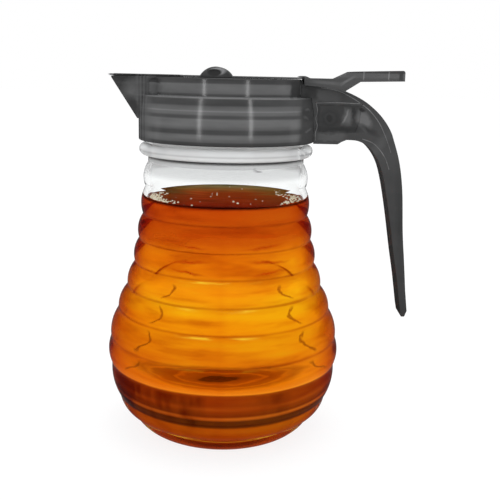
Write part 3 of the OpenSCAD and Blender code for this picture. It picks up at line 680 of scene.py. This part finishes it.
def jarInside(gap=0.0):
    floor = jar["floor"] + gap
    wall = jar["wall"] + gap
    corner = (grooves[1][0] - wall, grooves[1][1] + jar["heelRise"])
    outline = [(0, floor)] + arcPoints((jar["base"], floor), corner, jar["heelSag"], 12)
    for r, z in grooves[2:]:
        outline += arcPoints(outline[-1], (r - wall, z), jar["bulge"], 8)[1:]
    return splitAt(outline, fill["edge"])


def splitAt(outline, level):               # adds the point at which the outline rises past a level
    for i in range(len(outline) - 1, 0, -1):
        (r0, z0), (r1, z1) = outline[i - 1], outline[i]
        if z0 < level <= z1:
            share = (level - z0) / (z1 - z0)
            return outline[:i] + [(r0 + (r1 - r0) * share, level)] + outline[i:]
    return outline


def wetFaces(bm):                          # one glass where honey lies, and one from the bead up
    bmesh.ops.recalc_face_normals(bm, faces=bm.faces)
    for face in bm.faces:
        middle = face.calc_center_median()
        inward = middle.x * face.normal.x + middle.y * face.normal.y < 0 or face.normal.z > 0.9
        if inward and jar["floor"] / 2 * mm < middle.z < fill["edge"] * mm:
            face.material_index = 1
        if middle.z / mm > jar["beadZ"] - (0.5 if inward else 0.3):
            face.material_index = 2


def threadRidge(bm, innerR, innerH, outerR, outerH, z0, turns):
    section = [bm.verts.new((r * mm, 0, (z0 + z) * mm)) for r, z in
               ((innerR, -innerH / 2), (outerR, -outerH / 2), (outerR, outerH / 2), (innerR, innerH / 2))]
    edges = [bm.edges.new((section[i], section[(i + 1) % 4])) for i in range(4)]
    steps = round(thread["perTurn"] * turns)
    made = bmesh.ops.spin(bm, geom=section + edges, cent=(0, 0, 0), axis=(0, 0, 1), angle=math.tau * turns,
                          dvec=(0, 0, thread["pitch"] * turns / steps * mm), steps=steps, use_merge=False)
    bm.faces.new(section)
    bmesh.ops.contextual_create(bm, geom=onlyVerts(made["geom_last"]))


shape = bmesh.new()
rim = jar["rimRound"]
mouth = jar["neck"] - jar["wall"]
spinOutline(shape, jarOutside() + roundCorner((mouth + rim, jarTop - rim), rim, 90, 180) + jarInside()[::-1],
            jar["steps"])
wetFaces(shape)
threadZ = jar["beadZ"] + jar["beadH"] + thread["above"]
threadRidge(shape, jar["neck"] - thread["sink"], thread["root"], jar["neck"] + thread["depth"],
            thread["crest"], threadZ, thread["jarTurns"])
finishPiece("jarGlass", shape, "jar", "clear_glass", glass, wetted, beadGlass, nodes=["glass_jar"], angle=50)
print("jar made")


def honeyOutline():                        # its edge creeps a little way up the glass
    wall = [p for p in jarInside(fill["gap"]) if p[1] <= fill["edge"]]
    edge = wall[-1][0]
    rise = fill["edge"] - fill["level"]
    turns = [math.radians(a) for a in (15, 30, 45, 60, 75, 90)]
    creep = [(edge - fill["creep"] * (1 - math.cos(t)), fill["level"] + rise * (1 - math.sin(t)))
             for t in turns]
    return wall + creep + [(0, fill["level"])]


shape = bmesh.new()
spinOutline(shape, honeyOutline(), jar["steps"])
bmesh.ops.recalc_face_normals(shape, faces=shape.faces)
for face in shape.faces:
    if face.calc_center_median().z > (fill["level"] - 0.01) * mm and face.normal.z > 0.2:
        face.material_index = 1
finishPiece("honeyFill", shape, "jar", "honey", honey, honeyTop, nodes=["honey_fill"], angle=60)

random.seed(12)
froth = {"count": 270, "small": 0.24, "large": 0.6, "skew": 1.4, "ring": 30.2, "spread": 2.2, "inner": 4,
         "sit": 0.25, "turn": 16, "clusters": (180, 184, 190, 196, 200, 205, 345, 350, 15, 20, None)}
shape = bmesh.new()
for i in range(froth["count"]):            # in clusters at the rim, and a few anywhere
    where = random.choice(froth["clusters"])
    anywhere = where is None
    turn = math.radians(random.uniform(0, 360) if anywhere else random.gauss(where, froth["turn"]))
    reach = (random.uniform(froth["inner"], froth["ring"]) if anywhere
             else froth["ring"] - abs(random.gauss(0, froth["spread"])))
    size = random.uniform(froth["small"], froth["large"]) ** froth["skew"]
    spot = Vector((reach * math.cos(turn), reach * math.sin(turn), fill["level"] + size * froth["sit"])) * mm
    bmesh.ops.create_icosphere(shape, subdivisions=2, radius=size * mm, matrix=Matrix.Translation(spot))
finishPiece("honeyBubbles", shape, "jar", "honey", bubble)
print("honey made")

seal = {"in": 27.95, "out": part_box("jar_gasket")[1].x / mm, "low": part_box("jar_gasket")[0].z / mm,
        "high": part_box("jar_gasket")[1].z / mm, "round": 0.25}
shape = bmesh.new()
outline = []
for r, z, start in ((seal["in"], "low", 180), (seal["out"] - seal["round"], "low", 270),
                    (seal["out"] - seal["round"], "high", 0), (seal["in"], "high", 90)):
    level = seal[z] + (seal["round"] if z == "low" else -seal["round"])
    outline += roundCorner((r, level), seal["round"], start, start + 90)
spinOutline(shape, outline, 96)
finishPiece("sealRing", shape, "liner", "seal_rubber", rubber, nodes=["jar_gasket"])


# The head.

head = {
    "skirt": 34.75, "bore": 32.85, "slope": 6.9, "lean": 1.25, "corner": 0.45, "foot": deckZ - 6.9,
    "deck": 29.4, "wall": 2.0, "ledge": jarTop + 1.3, "topRound": 0.7, "lip": 0.5,
}
spout = {"nose": 44.4, "noseW": 16.4, "width": 24.0, "drop": 16.1, "footW": 12.0, "wall": 2.0, "slot": 12.0,
         "chin": ((0, 0, 0), (0, 0, -0.5), (1, -0.4, -1.9)), "back": 3.6, "footIn": 2,
         "foot": ((1.5, 0), (2.4, 4))}
passage = {"taper": 2.5, "slotZ": (-0.4, 1.6), "feedFrom": 3.2, "feedPast": 5, "feedZ": (1.8, 2.2)}


def headOutline():
    skirt, corner, foot, deck, bore = (head[key] for key in ("skirt", "corner", "foot", "deck", "bore"))
    lip, top, wall, ledge = (head[key] for key in ("lip", "topRound", "wall", "ledge"))
    return (roundCorner((skirt - lip, skirtZ + lip), lip, 270, 360)
            + [(skirt, foot - head["slope"] - 0.6), (skirt - 0.04, foot - head["slope"])]
            + roundCorner((skirt - head["lean"] - corner, foot - corner), corner, 0, 90)
            + roundCorner((deck + 0.5, foot + 0.5), 0.5, 270, 180, 4)
            + roundCorner((deck - top, deckZ - top), top, 0, 90)
            + [(0, deckZ), (0, deckZ - wall), (deck - wall, deckZ - wall), (deck - wall, ledge),
               (bore, ledge), (bore, skirtZ + lip), (bore + lip, skirtZ)])


def passageShape():                        # the honey's way through the spout
    cut = bmesh.new()
    wall, x0 = spout["wall"], -spout["nose"] + spout["wall"]
    half, wide = spout["noseW"] / 2 - wall, spout["width"] / 2 - passage["taper"] * wall
    low, high = (deckZ + z for z in passage["slotZ"])
    block(cut, (x0, -half, low), (x0 + spout["slot"], half, high))
    low, high = (head["ledge"] + z for z in passage["feedZ"])
    block(cut, (-spout["nose"] + passage["feedFrom"] * wall, -wide, low),
          (-head["deck"] + head["wall"] + passage["feedPast"], wide, high))
    hull = bmesh.new()
    for corner in {tuple(round(c, 7) for c in v.co) for v in cut.verts}:
        hull.verts.new(corner)
    cut.free()
    made = bmesh.ops.convex_hull(hull, input=hull.verts)
    bmesh.ops.delete(hull, geom=onlyVerts(made["geom_interior"]), context="VERTS")
    return hull


def beakShape():                           # the spout: a wedge from the nose to its foot on the skirt
    hull = bmesh.new()
    nose, noseW, wide = -spout["nose"], spout["noseW"] / 2, spout["width"] / 2
    low, back, skirt = deckZ - spout["drop"], -head["deck"] + spout["back"], -head["skirt"]
    corners = ([(nose + dx, noseW + dy, deckZ + dz) for dx, dy, dz in spout["chin"]]
               + [(back, wide, deckZ), (back, wide, head["foot"]), (skirt, spout["footW"] / 2, low)]
               + [(skirt + dx, wide - spout["footIn"], low + dz) for dx, dz in spout["foot"]])
    for s in bothSides:
        for x, y, z in corners:
            hull.verts.new(Vector((x, s * y, z)) * mm)
    bmesh.ops.convex_hull(hull, input=hull.verts)
    bmesh.ops.dissolve_limit(hull, angle_limit=0.02, verts=hull.verts, edges=hull.edges)
    return hull


def boreShape(radius, z0, z1):
    cut = bmesh.new()
    tube(cut, 0, 0, z0, z1 - z0, radius, segments=128)
    return cut


shape = bmesh.new()
spinOutline(shape, headOutline(), 160)
shape = carve(shape, [passageShape()])
threadRidge(shape, head["bore"] - thread["depth"], thread["crest"], head["bore"] + thread["sink"],
            thread["root"], threadZ + thread["pitch"] / 2, thread["headTurns"])
finishPiece("headShell", shape, "head", "smoke_plastic", headPlastic, nodes=["cap_body"])

shape = beakShape()
roundEdges(shape, 0.45, 3, 20)
shape = carve(shape, [boreShape(head["bore"] + 0.5, skirtZ - 1, head["ledge"]),
                      boreShape(head["deck"] - head["wall"], skirtZ - 1, deckZ - head["wall"]),
                      passageShape()])
finishPiece("spoutBeak", shape, "head", "smoke_plastic", headPlastic)

rail = {"width": 1.5, "height": 0.9, "start": 0.9, "end": -18.0, "sink": 0.05, "round": 0.3}
shape = bmesh.new()
railY = (spout["noseW"] - rail["width"]) / 2
for s in bothSides:
    block(shape, (-spout["nose"] + rail["start"], s * railY - rail["width"] / 2, deckZ - rail["sink"]),
          (rail["end"], s * railY + rail["width"] / 2, deckZ + rail["height"]))
roundEdges(shape, rail["round"])
finishPiece("deckRails", shape, "head", "smoke_plastic", headPlastic)

trough = {"x0": 0.4, "x1": 27.4, "half": 2.7, "wall": 2.0, "endWall": 1, "floor": 1.3, "z": deckZ - 5.0,
          "under": 0.2}
shape = bmesh.new()
outer = trough["half"] + trough["wall"]
block(shape, (trough["x0"] - trough["wall"], -outer, trough["z"] - trough["floor"]),
      (trough["x1"] + trough["endWall"], outer, deckZ - trough["under"]))
roundEdges(shape, 0.3, 2)
hollow = bmesh.new()
block(hollow, (trough["x0"], -trough["half"], trough["z"]), (trough["x1"], trough["half"], deckZ + 1))
shape = carve(shape, [hollow])
finishPiece("springTrough", shape, "head", "smoke_plastic", headPlastic)

bosses = {"lug": 6.5, "lugEnd": 42.5, "lugZ": (skirtZ + 2.8, head["foot"] - 4.2), "sink": 1.2,
          "peg": (-4.1, 8.05), "pegR": 2.2, "pegH": 4.0, "pegDrop": 4.2,
          "column": (-28.9, -25.3), "columnY": (11.4, 14.4), "columnZ": (head["foot"] - 0.2, deckZ - 1.2)}
shape = bmesh.new()
block(shape, (head["skirt"] - bosses["sink"], -bosses["lug"] / 2, bosses["lugZ"][0]),
      (bosses["lugEnd"], bosses["lug"] / 2, bosses["lugZ"][1]))
pegX, pegY = bosses["peg"]
for s in bothSides:
    tube(shape, pegX, s * pegY, deckZ - bosses["pegDrop"], bosses["pegH"], bosses["pegR"])
    low, high = sorted(s * y for y in bosses["columnY"])
    block(shape, (bosses["column"][0], low, bosses["columnZ"][0]),
          (bosses["column"][1], high, bosses["columnZ"][1]))
roundEdges(shape, 0.25, 2)
finishPiece("headBosses", shape, "head", "smoke_plastic", headPlastic)
print("head made")


# The keeper, the blade and the lever.

keeper = {"x": -4.1, "width": 13.0, "length": 19.0, "height": 4.2, "tunnel": 13.2, "tunnelH": 0.95,
          "peg": 8.05, "pegR": 0.9, "pegH": 2.8, "pegDrop": 2.6,
          "window": (-2.4, 2.2), "windowZ": (1.2, 2.9), "windowDeep": 0.35, "windowRound": 0.6}
shape = bmesh.new()
arch = arcPoints((keeper["x"] + keeper["width"] / 2, deckZ), (keeper["x"] - keeper["width"] / 2, deckZ),
                 keeper["height"], 28)
extrudeSide(shape, arch, keeper["length"])
roundEdges(shape, 0.35, 3, 40)
cutter = bmesh.new()
block(cutter, (keeper["x"] - 10, -keeper["tunnel"] / 2, deckZ - 1),
      (keeper["x"] + 10, keeper["tunnel"] / 2, deckZ + keeper["tunnelH"]))
cutters = [cutter]
for s in bothSides:
    window = bmesh.new()
    end = s * keeper["length"] / 2
    block(window, *[(keeper["x"] + keeper["window"][i], end + way * keeper["windowDeep"],
                     deckZ + keeper["windowZ"][i]) for i, way in enumerate(bothSides)])
    roundEdges(window, keeper["windowRound"], 4, 30, keep=lambda e: runsAlong(e, 1))
    cutters.append(window)
shape = carve(shape, cutters)
for s in bothSides:
    tube(shape, keeper["x"], s * keeper["peg"], deckZ - keeper["pegDrop"], keeper["pegH"], keeper["pegR"], 24)
finishPiece("keeperBridge", shape, "head", "smoke_plastic", keeperPlastic, nodes=["blade_keeper"])

blade = {"width": 13.0, "t": 0.75, "gap": 0.1, "over": 1.8, "corner": 2.5, "joggle": 31.4, "joggleL": 1.4,
         "drop": 0.95, "end": 41.0, "tab": 13.4, "tabHalf": 1.6, "tabH": 3.6}
bladeZ = deckZ + blade["gap"]
shape = bmesh.new()
tip = -spout["nose"] - blade["over"] + blade["corner"]
side = blade["width"] / 2
plan = ([(blade["joggle"], -side), (blade["joggle"], side)]
        + roundCorner((tip, side - blade["corner"]), blade["corner"], 90, 180, 10)
        + roundCorner((tip, -side + blade["corner"]), blade["corner"], 180, 270, 10))
extrude(shape, [(x, y, bladeZ) for x, y in plan], (0, 0, blade["t"]))
roundEdges(shape, 0.12, 2, 60)
tailZ = bladeZ - blade["drop"]
bend, step, end, thick = blade["joggle"], blade["joggle"] + blade["joggleL"], blade["end"], blade["t"]
extrudeSide(shape, [(bend - 0.3, bladeZ), (bend, bladeZ), (step, tailZ), (end, tailZ), (end, tailZ + thick),
                    (step + 0.1, tailZ + thick), (bend + 0.1, bladeZ + thick), (bend - 0.3, bladeZ + thick)],
            blade["width"] - 1)
block(shape, (blade["tab"], -blade["tabHalf"], bladeZ - blade["tabH"]),
      (blade["tab"] + thick, blade["tabHalf"], bladeZ + 0.1))
finishPiece("shutOffBlade", shape, "gate", "blade_steel", bladeSteel, nodes=["slide_blade"])

lever = {"width": 17.0, "end": 68.4, "rise": 4.1, "t": 4.2, "flat": 0.6, "lip": 28.0, "lipL": 4.2,
         "over": 0.14, "front": 29.85, "round": 0.9, "corner": 3.0,
         "cheek": 1.7, "hang": 0.75, "cheekUp": 0.6, "flatEnd": 42.3, "ramp": ((48.0, 0.75), (49.0, 0.65)),
         "heel": 51.4, "heelDrop": 0.4,
         "under": [(46.0, deckZ - 4.0), (42.7, deckZ - 3.15), (38.2, deckZ - 2.2), (34, deckZ - 1.8)]}
underside = [(x, z + lever["over"]) for x, z in lever["under"]]


def leverOutline():
    bladeTop = bladeZ + blade["t"] + 0.05
    flat, plate, r = deckZ + lever["flat"], deckZ + lever["rise"], lever["round"]
    lip = (lever["lip"] + 0.2, bladeTop + 0.25)
    return ([(lever["lip"], bladeTop), lip]
            + arcPoints(lip, (lever["lip"] + lever["lipL"] - 0.6, flat + 0.2), -0.4, 6)[1:]
            + [(lever["lip"] + lever["lipL"], flat), (lever["flatEnd"], flat)]
            + [(x, plate - dip) for x, dip in lever["ramp"]]
            + roundCorner((lever["end"] - r, plate - r), r, 90, 0, 6)
            + [(lever["end"], plate - lever["t"] + 0.2), (lever["heel"], deckZ - lever["heelDrop"])]
            + underside
            + [(lever["front"], deckZ - 1.5 + lever["over"]), (lever["front"], bladeTop)])


rivets = {"x": 37.0, "half": 3.5, "r": 1.0, "head": 1.5, "headH": 0.4, "low": deckZ - 1.6, "under": 0.2,
          "play": (0.03, 0.05)}
flatZ = deckZ + lever["flat"]


def rivetTube(bm, s, z0, height, radius):
    tube(bm, rivets["x"], s * rivets["half"], z0, height, radius)


shape = bmesh.new()
extrudeSide(shape, leverOutline(), lever["width"])
roundEdges(shape, lever["corner"], 8, 60,
           keep=lambda e: runsAlong(e, 2) and e.verts[0].co.x > (lever["end"] - 0.5) * mm)
roundEdges(shape, 0.4, 3, 25)
for s in bothSides:                        # cheeks beside the handle's top
    line = underside + [(lever["front"] + 0.1, deckZ - 1.4)]
    cheek = bmesh.new()
    line = [(x, z + lever["cheekUp"]) for x, z in line] + [(x, z - lever["hang"]) for x, z in line[::-1]]
    extrudeSide(cheek, line, lever["cheek"], s * ((lever["width"] - lever["cheek"]) / 2 - 0.05))
    roundEdges(cheek, 0.1, 2, 50)
    cheekMesh = bpy.data.meshes.new("cheek")
    cheek.to_mesh(cheekMesh)
    shape.from_mesh(cheekMesh)
    cheek.free()
holes = []
for s in bothSides:
    hole, seat = bmesh.new(), bmesh.new()
    rivetTube(hole, s, rivets["low"] - 1, 6, rivets["r"] + rivets["play"][0])
    rivetTube(seat, s, flatZ - rivets["headH"] - 0.02, 2, rivets["head"] + rivets["play"][1])
    holes += [hole, seat]
shape = carve(shape, holes)
finishPiece("thumbLever", shape, "gate", "smoke_plastic", leverPlastic, nodes=["thumb_lever"])

shape = bmesh.new()
for s in bothSides:
    rivetTube(shape, s, rivets["low"], flatZ - rivets["under"] - rivets["low"], rivets["r"])
    rivetTube(shape, s, flatZ - rivets["headH"], rivets["headH"], rivets["head"])
roundEdges(shape, 0.1, 2, 50)
finishPiece("bladeRivets", shape, "gate", "bright_steel", fixingSteel, nodes=["blade_rivets"])
print("blade and lever made")


# The handle.

grip = {
    "width": 12.0, "round": 0.9, "seat": 0.06,
    "lip": [(27.0, deckZ - 0.12), (29.5, deckZ - 0.12), (29.65, deckZ - 1.52)],
    "back": [(29.9, deckZ - 1.54), (38.2, deckZ - 2.25), (42.7, deckZ - 3.2), (45.9, deckZ - 4.0),
             (50.2, 137.7), (53.9, 135.7), (56.8, 133.6), (59.4, 131.3), (61.5, 129.0), (63.2, 126.7),
             (64.6, 124.3), (65.6, 121.9), (68.6, 112.5), (70.5, 101), (71.7, 84.2), (73.0, 72), (74.2, 60)],
    "tip": [(75.3, 51.5), (74.4, 49), (73, 49)],
    "front": [(72.3, 52.4), (70.3, 65), (68.3, 75.7), (65.5, 92), (62.8, 105), (60.2, 112.6), (56.2, 118),
              (52, 120.3), (47.4, 120.7)],
    "foot": skirtZ - 0.4, "footEnd": 43.9, "inside": head["skirt"] - 3, "shelf": head["foot"] - 2,
    "panel": 0.35, "panelLine": [(36.2, 123.6), (50.6, 123.6), (52.0, 127.5), (52.6, 134.0), (36.2, 134.0)],
}
shape = bmesh.new()
outline = (grip["lip"] + smoothLine(grip["back"]) + grip["tip"] + smoothLine(grip["front"])
           + [(grip["footEnd"] + 1.4, grip["foot"] + 0.9), (grip["footEnd"], grip["foot"]),
              (grip["inside"], grip["foot"]), (grip["inside"], grip["shelf"]),
              (grip["lip"][0][0], grip["shelf"])])
extrudeSide(shape, outline, grip["width"])
roundEdges(shape, grip["round"], 5, 50)
saddle = bmesh.new()                       # the head's outside, a hair larger, seats the handle
skirt, deck, foot = (head[key] + grip["seat"] for key in ("skirt", "deck", "foot"))
spinOutline(saddle, [(0, skirtZ - 5), (skirt, skirtZ - 5), (skirt, foot - head["slope"]),
                     (skirt - head["lean"], foot), (deck, foot), (deck, deckZ + 10), (0, deckZ + 10)])
cutters = [saddle]
for s in bothSides:
    panel = bmesh.new()
    extrudeSide(panel, grip["panelLine"], grip["panel"] * 2, s * grip["width"] / 2)
    roundEdges(panel, 0.3)
    cutters.append(panel)
shape = carve(shape, cutters)
finishPiece("pourHandle", shape, "head", "smoke_plastic", handlePlastic, nodes=["handle"])

ridges = {
    "lines": [
        [(34.9, 134.6), (35.5, 131.6), (34.95, 128.8), (35.6, 126), (35.0, 123), (35.1, 120.2)],
        [(34.9, 134.7), (43, 135.0), (52.6, 134.8)],
        [(53.5, 121.2), (57.5, 119.8), (60.5, 117.2), (63.0, 113.6), (64.6, 109.5)],
        [(52.7, 134.6), (55.4, 132.6), (58.0, 129.9), (60.2, 126.9), (62.0, 123.4), (63.6, 119.8),
         (65.0, 116.0)],
        [(36.5, 140.6), (40.5, 140.1), (44.4, 139.1), (47.4, 137.7), (50.6, 135.9), (53.0, 134.3)]],
    "width": 0.3, "depth": 0.12, "out": 0.01,
}
# raised lines on the handle's sides, in a lighter material that paints their highlights
shape = bmesh.new()
for s in bothSides:
    for line in ridges["lines"]:
        ribbon(shape, line, ridges["width"], s * (grip["width"] / 2 + ridges["out"]), ridges["depth"])
finishPiece("handleRidges", shape, "head", "smoke_plastic", ridgeHighlightPlastic)
print("handle made")


# The spring.

spring = {"d": 4.0, "wire": 0.55, "curls": 8, "x0": 2.85, "x1": 13.35, "z": deckZ + blade["gap"] - 2.5,
          "sides": 10, "perTurn": 24}
shape = bmesh.new()
reach = (spring["d"] - spring["wire"]) / 2
bmesh.ops.create_circle(shape, cap_ends=False, radius=spring["wire"] / 2 * mm, segments=spring["sides"],
                        matrix=Matrix.Translation((spring["x0"] * mm, 0, (spring["z"] + reach) * mm)))
ring = shape.verts[:] + shape.edges[:]
steps = spring["perTurn"] * spring["curls"]
coil = bmesh.ops.spin(shape, geom=ring, cent=(spring["x0"] * mm, 0, spring["z"] * mm), axis=(1, 0, 0),
                      angle=math.tau * spring["curls"], steps=steps, use_merge=False,
                      dvec=((spring["x1"] - spring["x0"]) / steps * mm, 0, 0))
for end in (ring, coil["geom_last"]):
    bmesh.ops.contextual_create(shape, geom=onlyVerts(end))
springCoil = finishPiece("returnSpring", shape, None, "bright_steel", fixingSteel, nodes=["return_spring"],
                         angle=70)
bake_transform(springCoil)

for node in ("spring_pin", "handle_screw"):
    frame["nodes"][node].data.materials.clear()
    frame["nodes"][node].data.materials.append(fixingSteel)
print("spring and fixings made")


# The floor, the room and the camera.

stage = {"floor": 0.95, "share": 0.8, "glow": 1.06, "dim": 0.12, "front": (0.12, -0.06, 0.0, 0.85), "size": 6,
         "drop": 0.1, "room": 0.95, "inGlass": 0.06,
         "gloss": [(0, 0.12), (0.4, 0.15), (0.625, 0.6), (0.8, 1.0), (1, 1.0)]}


def bareMaterial(name):
    made = bpy.data.materials.new(name)
    made.use_nodes = True
    made.node_tree.nodes.clear()
    return made, Nodes(made.node_tree)


def cardMaterial(level):
    made, n = bareMaterial("cardDark")
    n.end(n.add("Emission", Color=(*grey(level), 1)).outputs[0])
    return made


def floorMaterial():                       # pale, with a shadow, and dim in front for reflections
    made, n = bareMaterial("paleFloor")
    path = n.add("LightPath").outputs
    front = n.fit(n.parts(n.add("TexCoord").outputs["Object"])[1], *stage["front"])
    sharp = n.math("MULTIPLY_ADD", path["Is Glossy Ray"], front, path["Is Singular Ray"])
    reflected = n.math("SUBTRACT", sharp, path["Is Transmission Ray"])
    reflected.node.use_clamp = True
    diffuse = n.add("BsdfDiffuse", Color=(*grey(stage["floor"]), 1)).outputs[0]
    glow, dim = (n.add("Emission", Strength=stage[key]).outputs[0] for key in ("glow", "dim"))
    n.end(n.layer(reflected, n.layer(stage["share"], diffuse, glow), dim))
    return made


def flatSheet(name, size, matrix, material):
    shape = bmesh.new()
    bmesh.ops.create_grid(shape, x_segments=1, y_segments=1, size=size, matrix=matrix)
    return meshObject(name, shape, material)


floor = flatSheet("floor", stage["size"], Matrix.Translation((0, 0, -stage["drop"] * mm)), floorMaterial())

world = bpy.data.worlds.new("studio")
scene.world = world
world.use_nodes = True
world.node_tree.nodes.clear()
air = Nodes(world.node_tree)
rays = air.add("LightPath").outputs
upAndAcross = air.parts(air.add("TexCoord").outputs["Generated"])
backdrop = air.add("Background", Color=(*white, 1), Strength=1.0).outputs[0]
room = air.add("Background", Color=(0.97, 0.98, 1.0, 1), Strength=stage["room"]).outputs[0]
inGlass = air.add("Background", Color=(*white, 1), Strength=stage["inGlass"]).outputs[0]
inGloss = air.add("Background", Strength=1.0)   # the room, in bands from front to back
air.join(air.greys(upAndAcross[1], -1, 1, stage["gloss"]), inGloss.inputs["Color"])
light = air.layer(rays["Is Singular Ray"], inGloss.outputs[0], inGlass)
light = air.layer(rays["Is Glossy Ray"], room, light)
light = air.layer(rays["Is Transmission Ray"], light, backdrop)
air.end(air.layer(rays["Is Camera Ray"], light, backdrop), "OutputWorld")

# Dark cards at the sides, which only the glass sees, give it its dark outlines.
card = {"x": 0.42, "y0": -0.35, "y1": 0.45, "top": 0.6, "tone": 0.8}
for s in bothSides:
    size = Matrix.Diagonal((card["top"], card["y1"] - card["y0"], 1, 1))
    place = (Matrix.Translation((s * card["x"], (card["y0"] + card["y1"]) / 2, card["top"] / 2))
             @ Matrix.Rotation(math.radians(90), 4, "Y") @ size)
    darkCard = flatSheet("darkCard" + ("Left" if s < 0 else "Right"), 0.5, place, cardMaterial(card["tone"]))
    darkCard.visible_camera = darkCard.visible_diffuse = False
    darkCard.visible_shadow = darkCard.visible_glossy = False


def softLamp(name, place, aim, width, height, power):
    data = bpy.data.lights.new(name, "AREA")
    data.shape = "RECTANGLE"
    data.size, data.size_y = width, height
    data.energy = power
    lamp = bpy.data.objects.new(name, data)
    scene.collection.objects.link(lamp)
    lamp.location = place
    lamp.rotation_euler = (Vector(aim) - Vector(place)).to_track_quat("-Z", "Y").to_euler()
    lamp.visible_camera = False
    lamp.visible_transmission = False
    return lamp


headPieces = bpy.data.collections.new("headPieces")   # the strips shine on these alone
for piece in scene.objects:
    if piece.name in ("headShell", "keeperBridge", "thumbLever"):
        headPieces.objects.link(piece)

strip = {"turn": 32, "far": 0.75, "z": 0.16, "aim": (0, 0, 0.12), "width": 0.055, "height": 0.6, "power": 0.5}
turn = math.radians(strip["turn"])
for s in bothSides:
    place = (s * strip["far"] * math.sin(turn), -strip["far"] * math.cos(turn), strip["z"])
    lamp = softLamp("strip" + ("Left" if s < 0 else "Right"), place, strip["aim"], strip["width"],
                    strip["height"], strip["power"])
    lamp.light_linking.receiver_collection = headPieces
softLamp("overhead", (0.1, 0.1, 1.1), (0, 0, 0.1), 0.9, 0.9, 4)

eye = {"place": (0.0104, -0.322, 0.1445), "pitch": 12.28, "roll": 1.25, "focal": 800, "frame": 500,
       "sensor": 36}
camera = bpy.data.cameras.new("camera")
camera.sensor_width = eye["sensor"]
camera.lens = eye["focal"] / eye["frame"] * camera.sensor_width
cameraObject = bpy.data.objects.new("camera", camera)
scene.collection.objects.link(cameraObject)
cameraObject.matrix_world = (Matrix.Translation(eye["place"])
                             @ Matrix.Rotation(math.radians(90 - eye["pitch"]), 4, "X")
                             @ Matrix.Rotation(math.radians(eye["roll"]), 4, "Z"))
scene.camera = cameraObject
scene.cycles.transmission_bounces = 20
scene.cycles.max_bounces = 24
print("stage made")
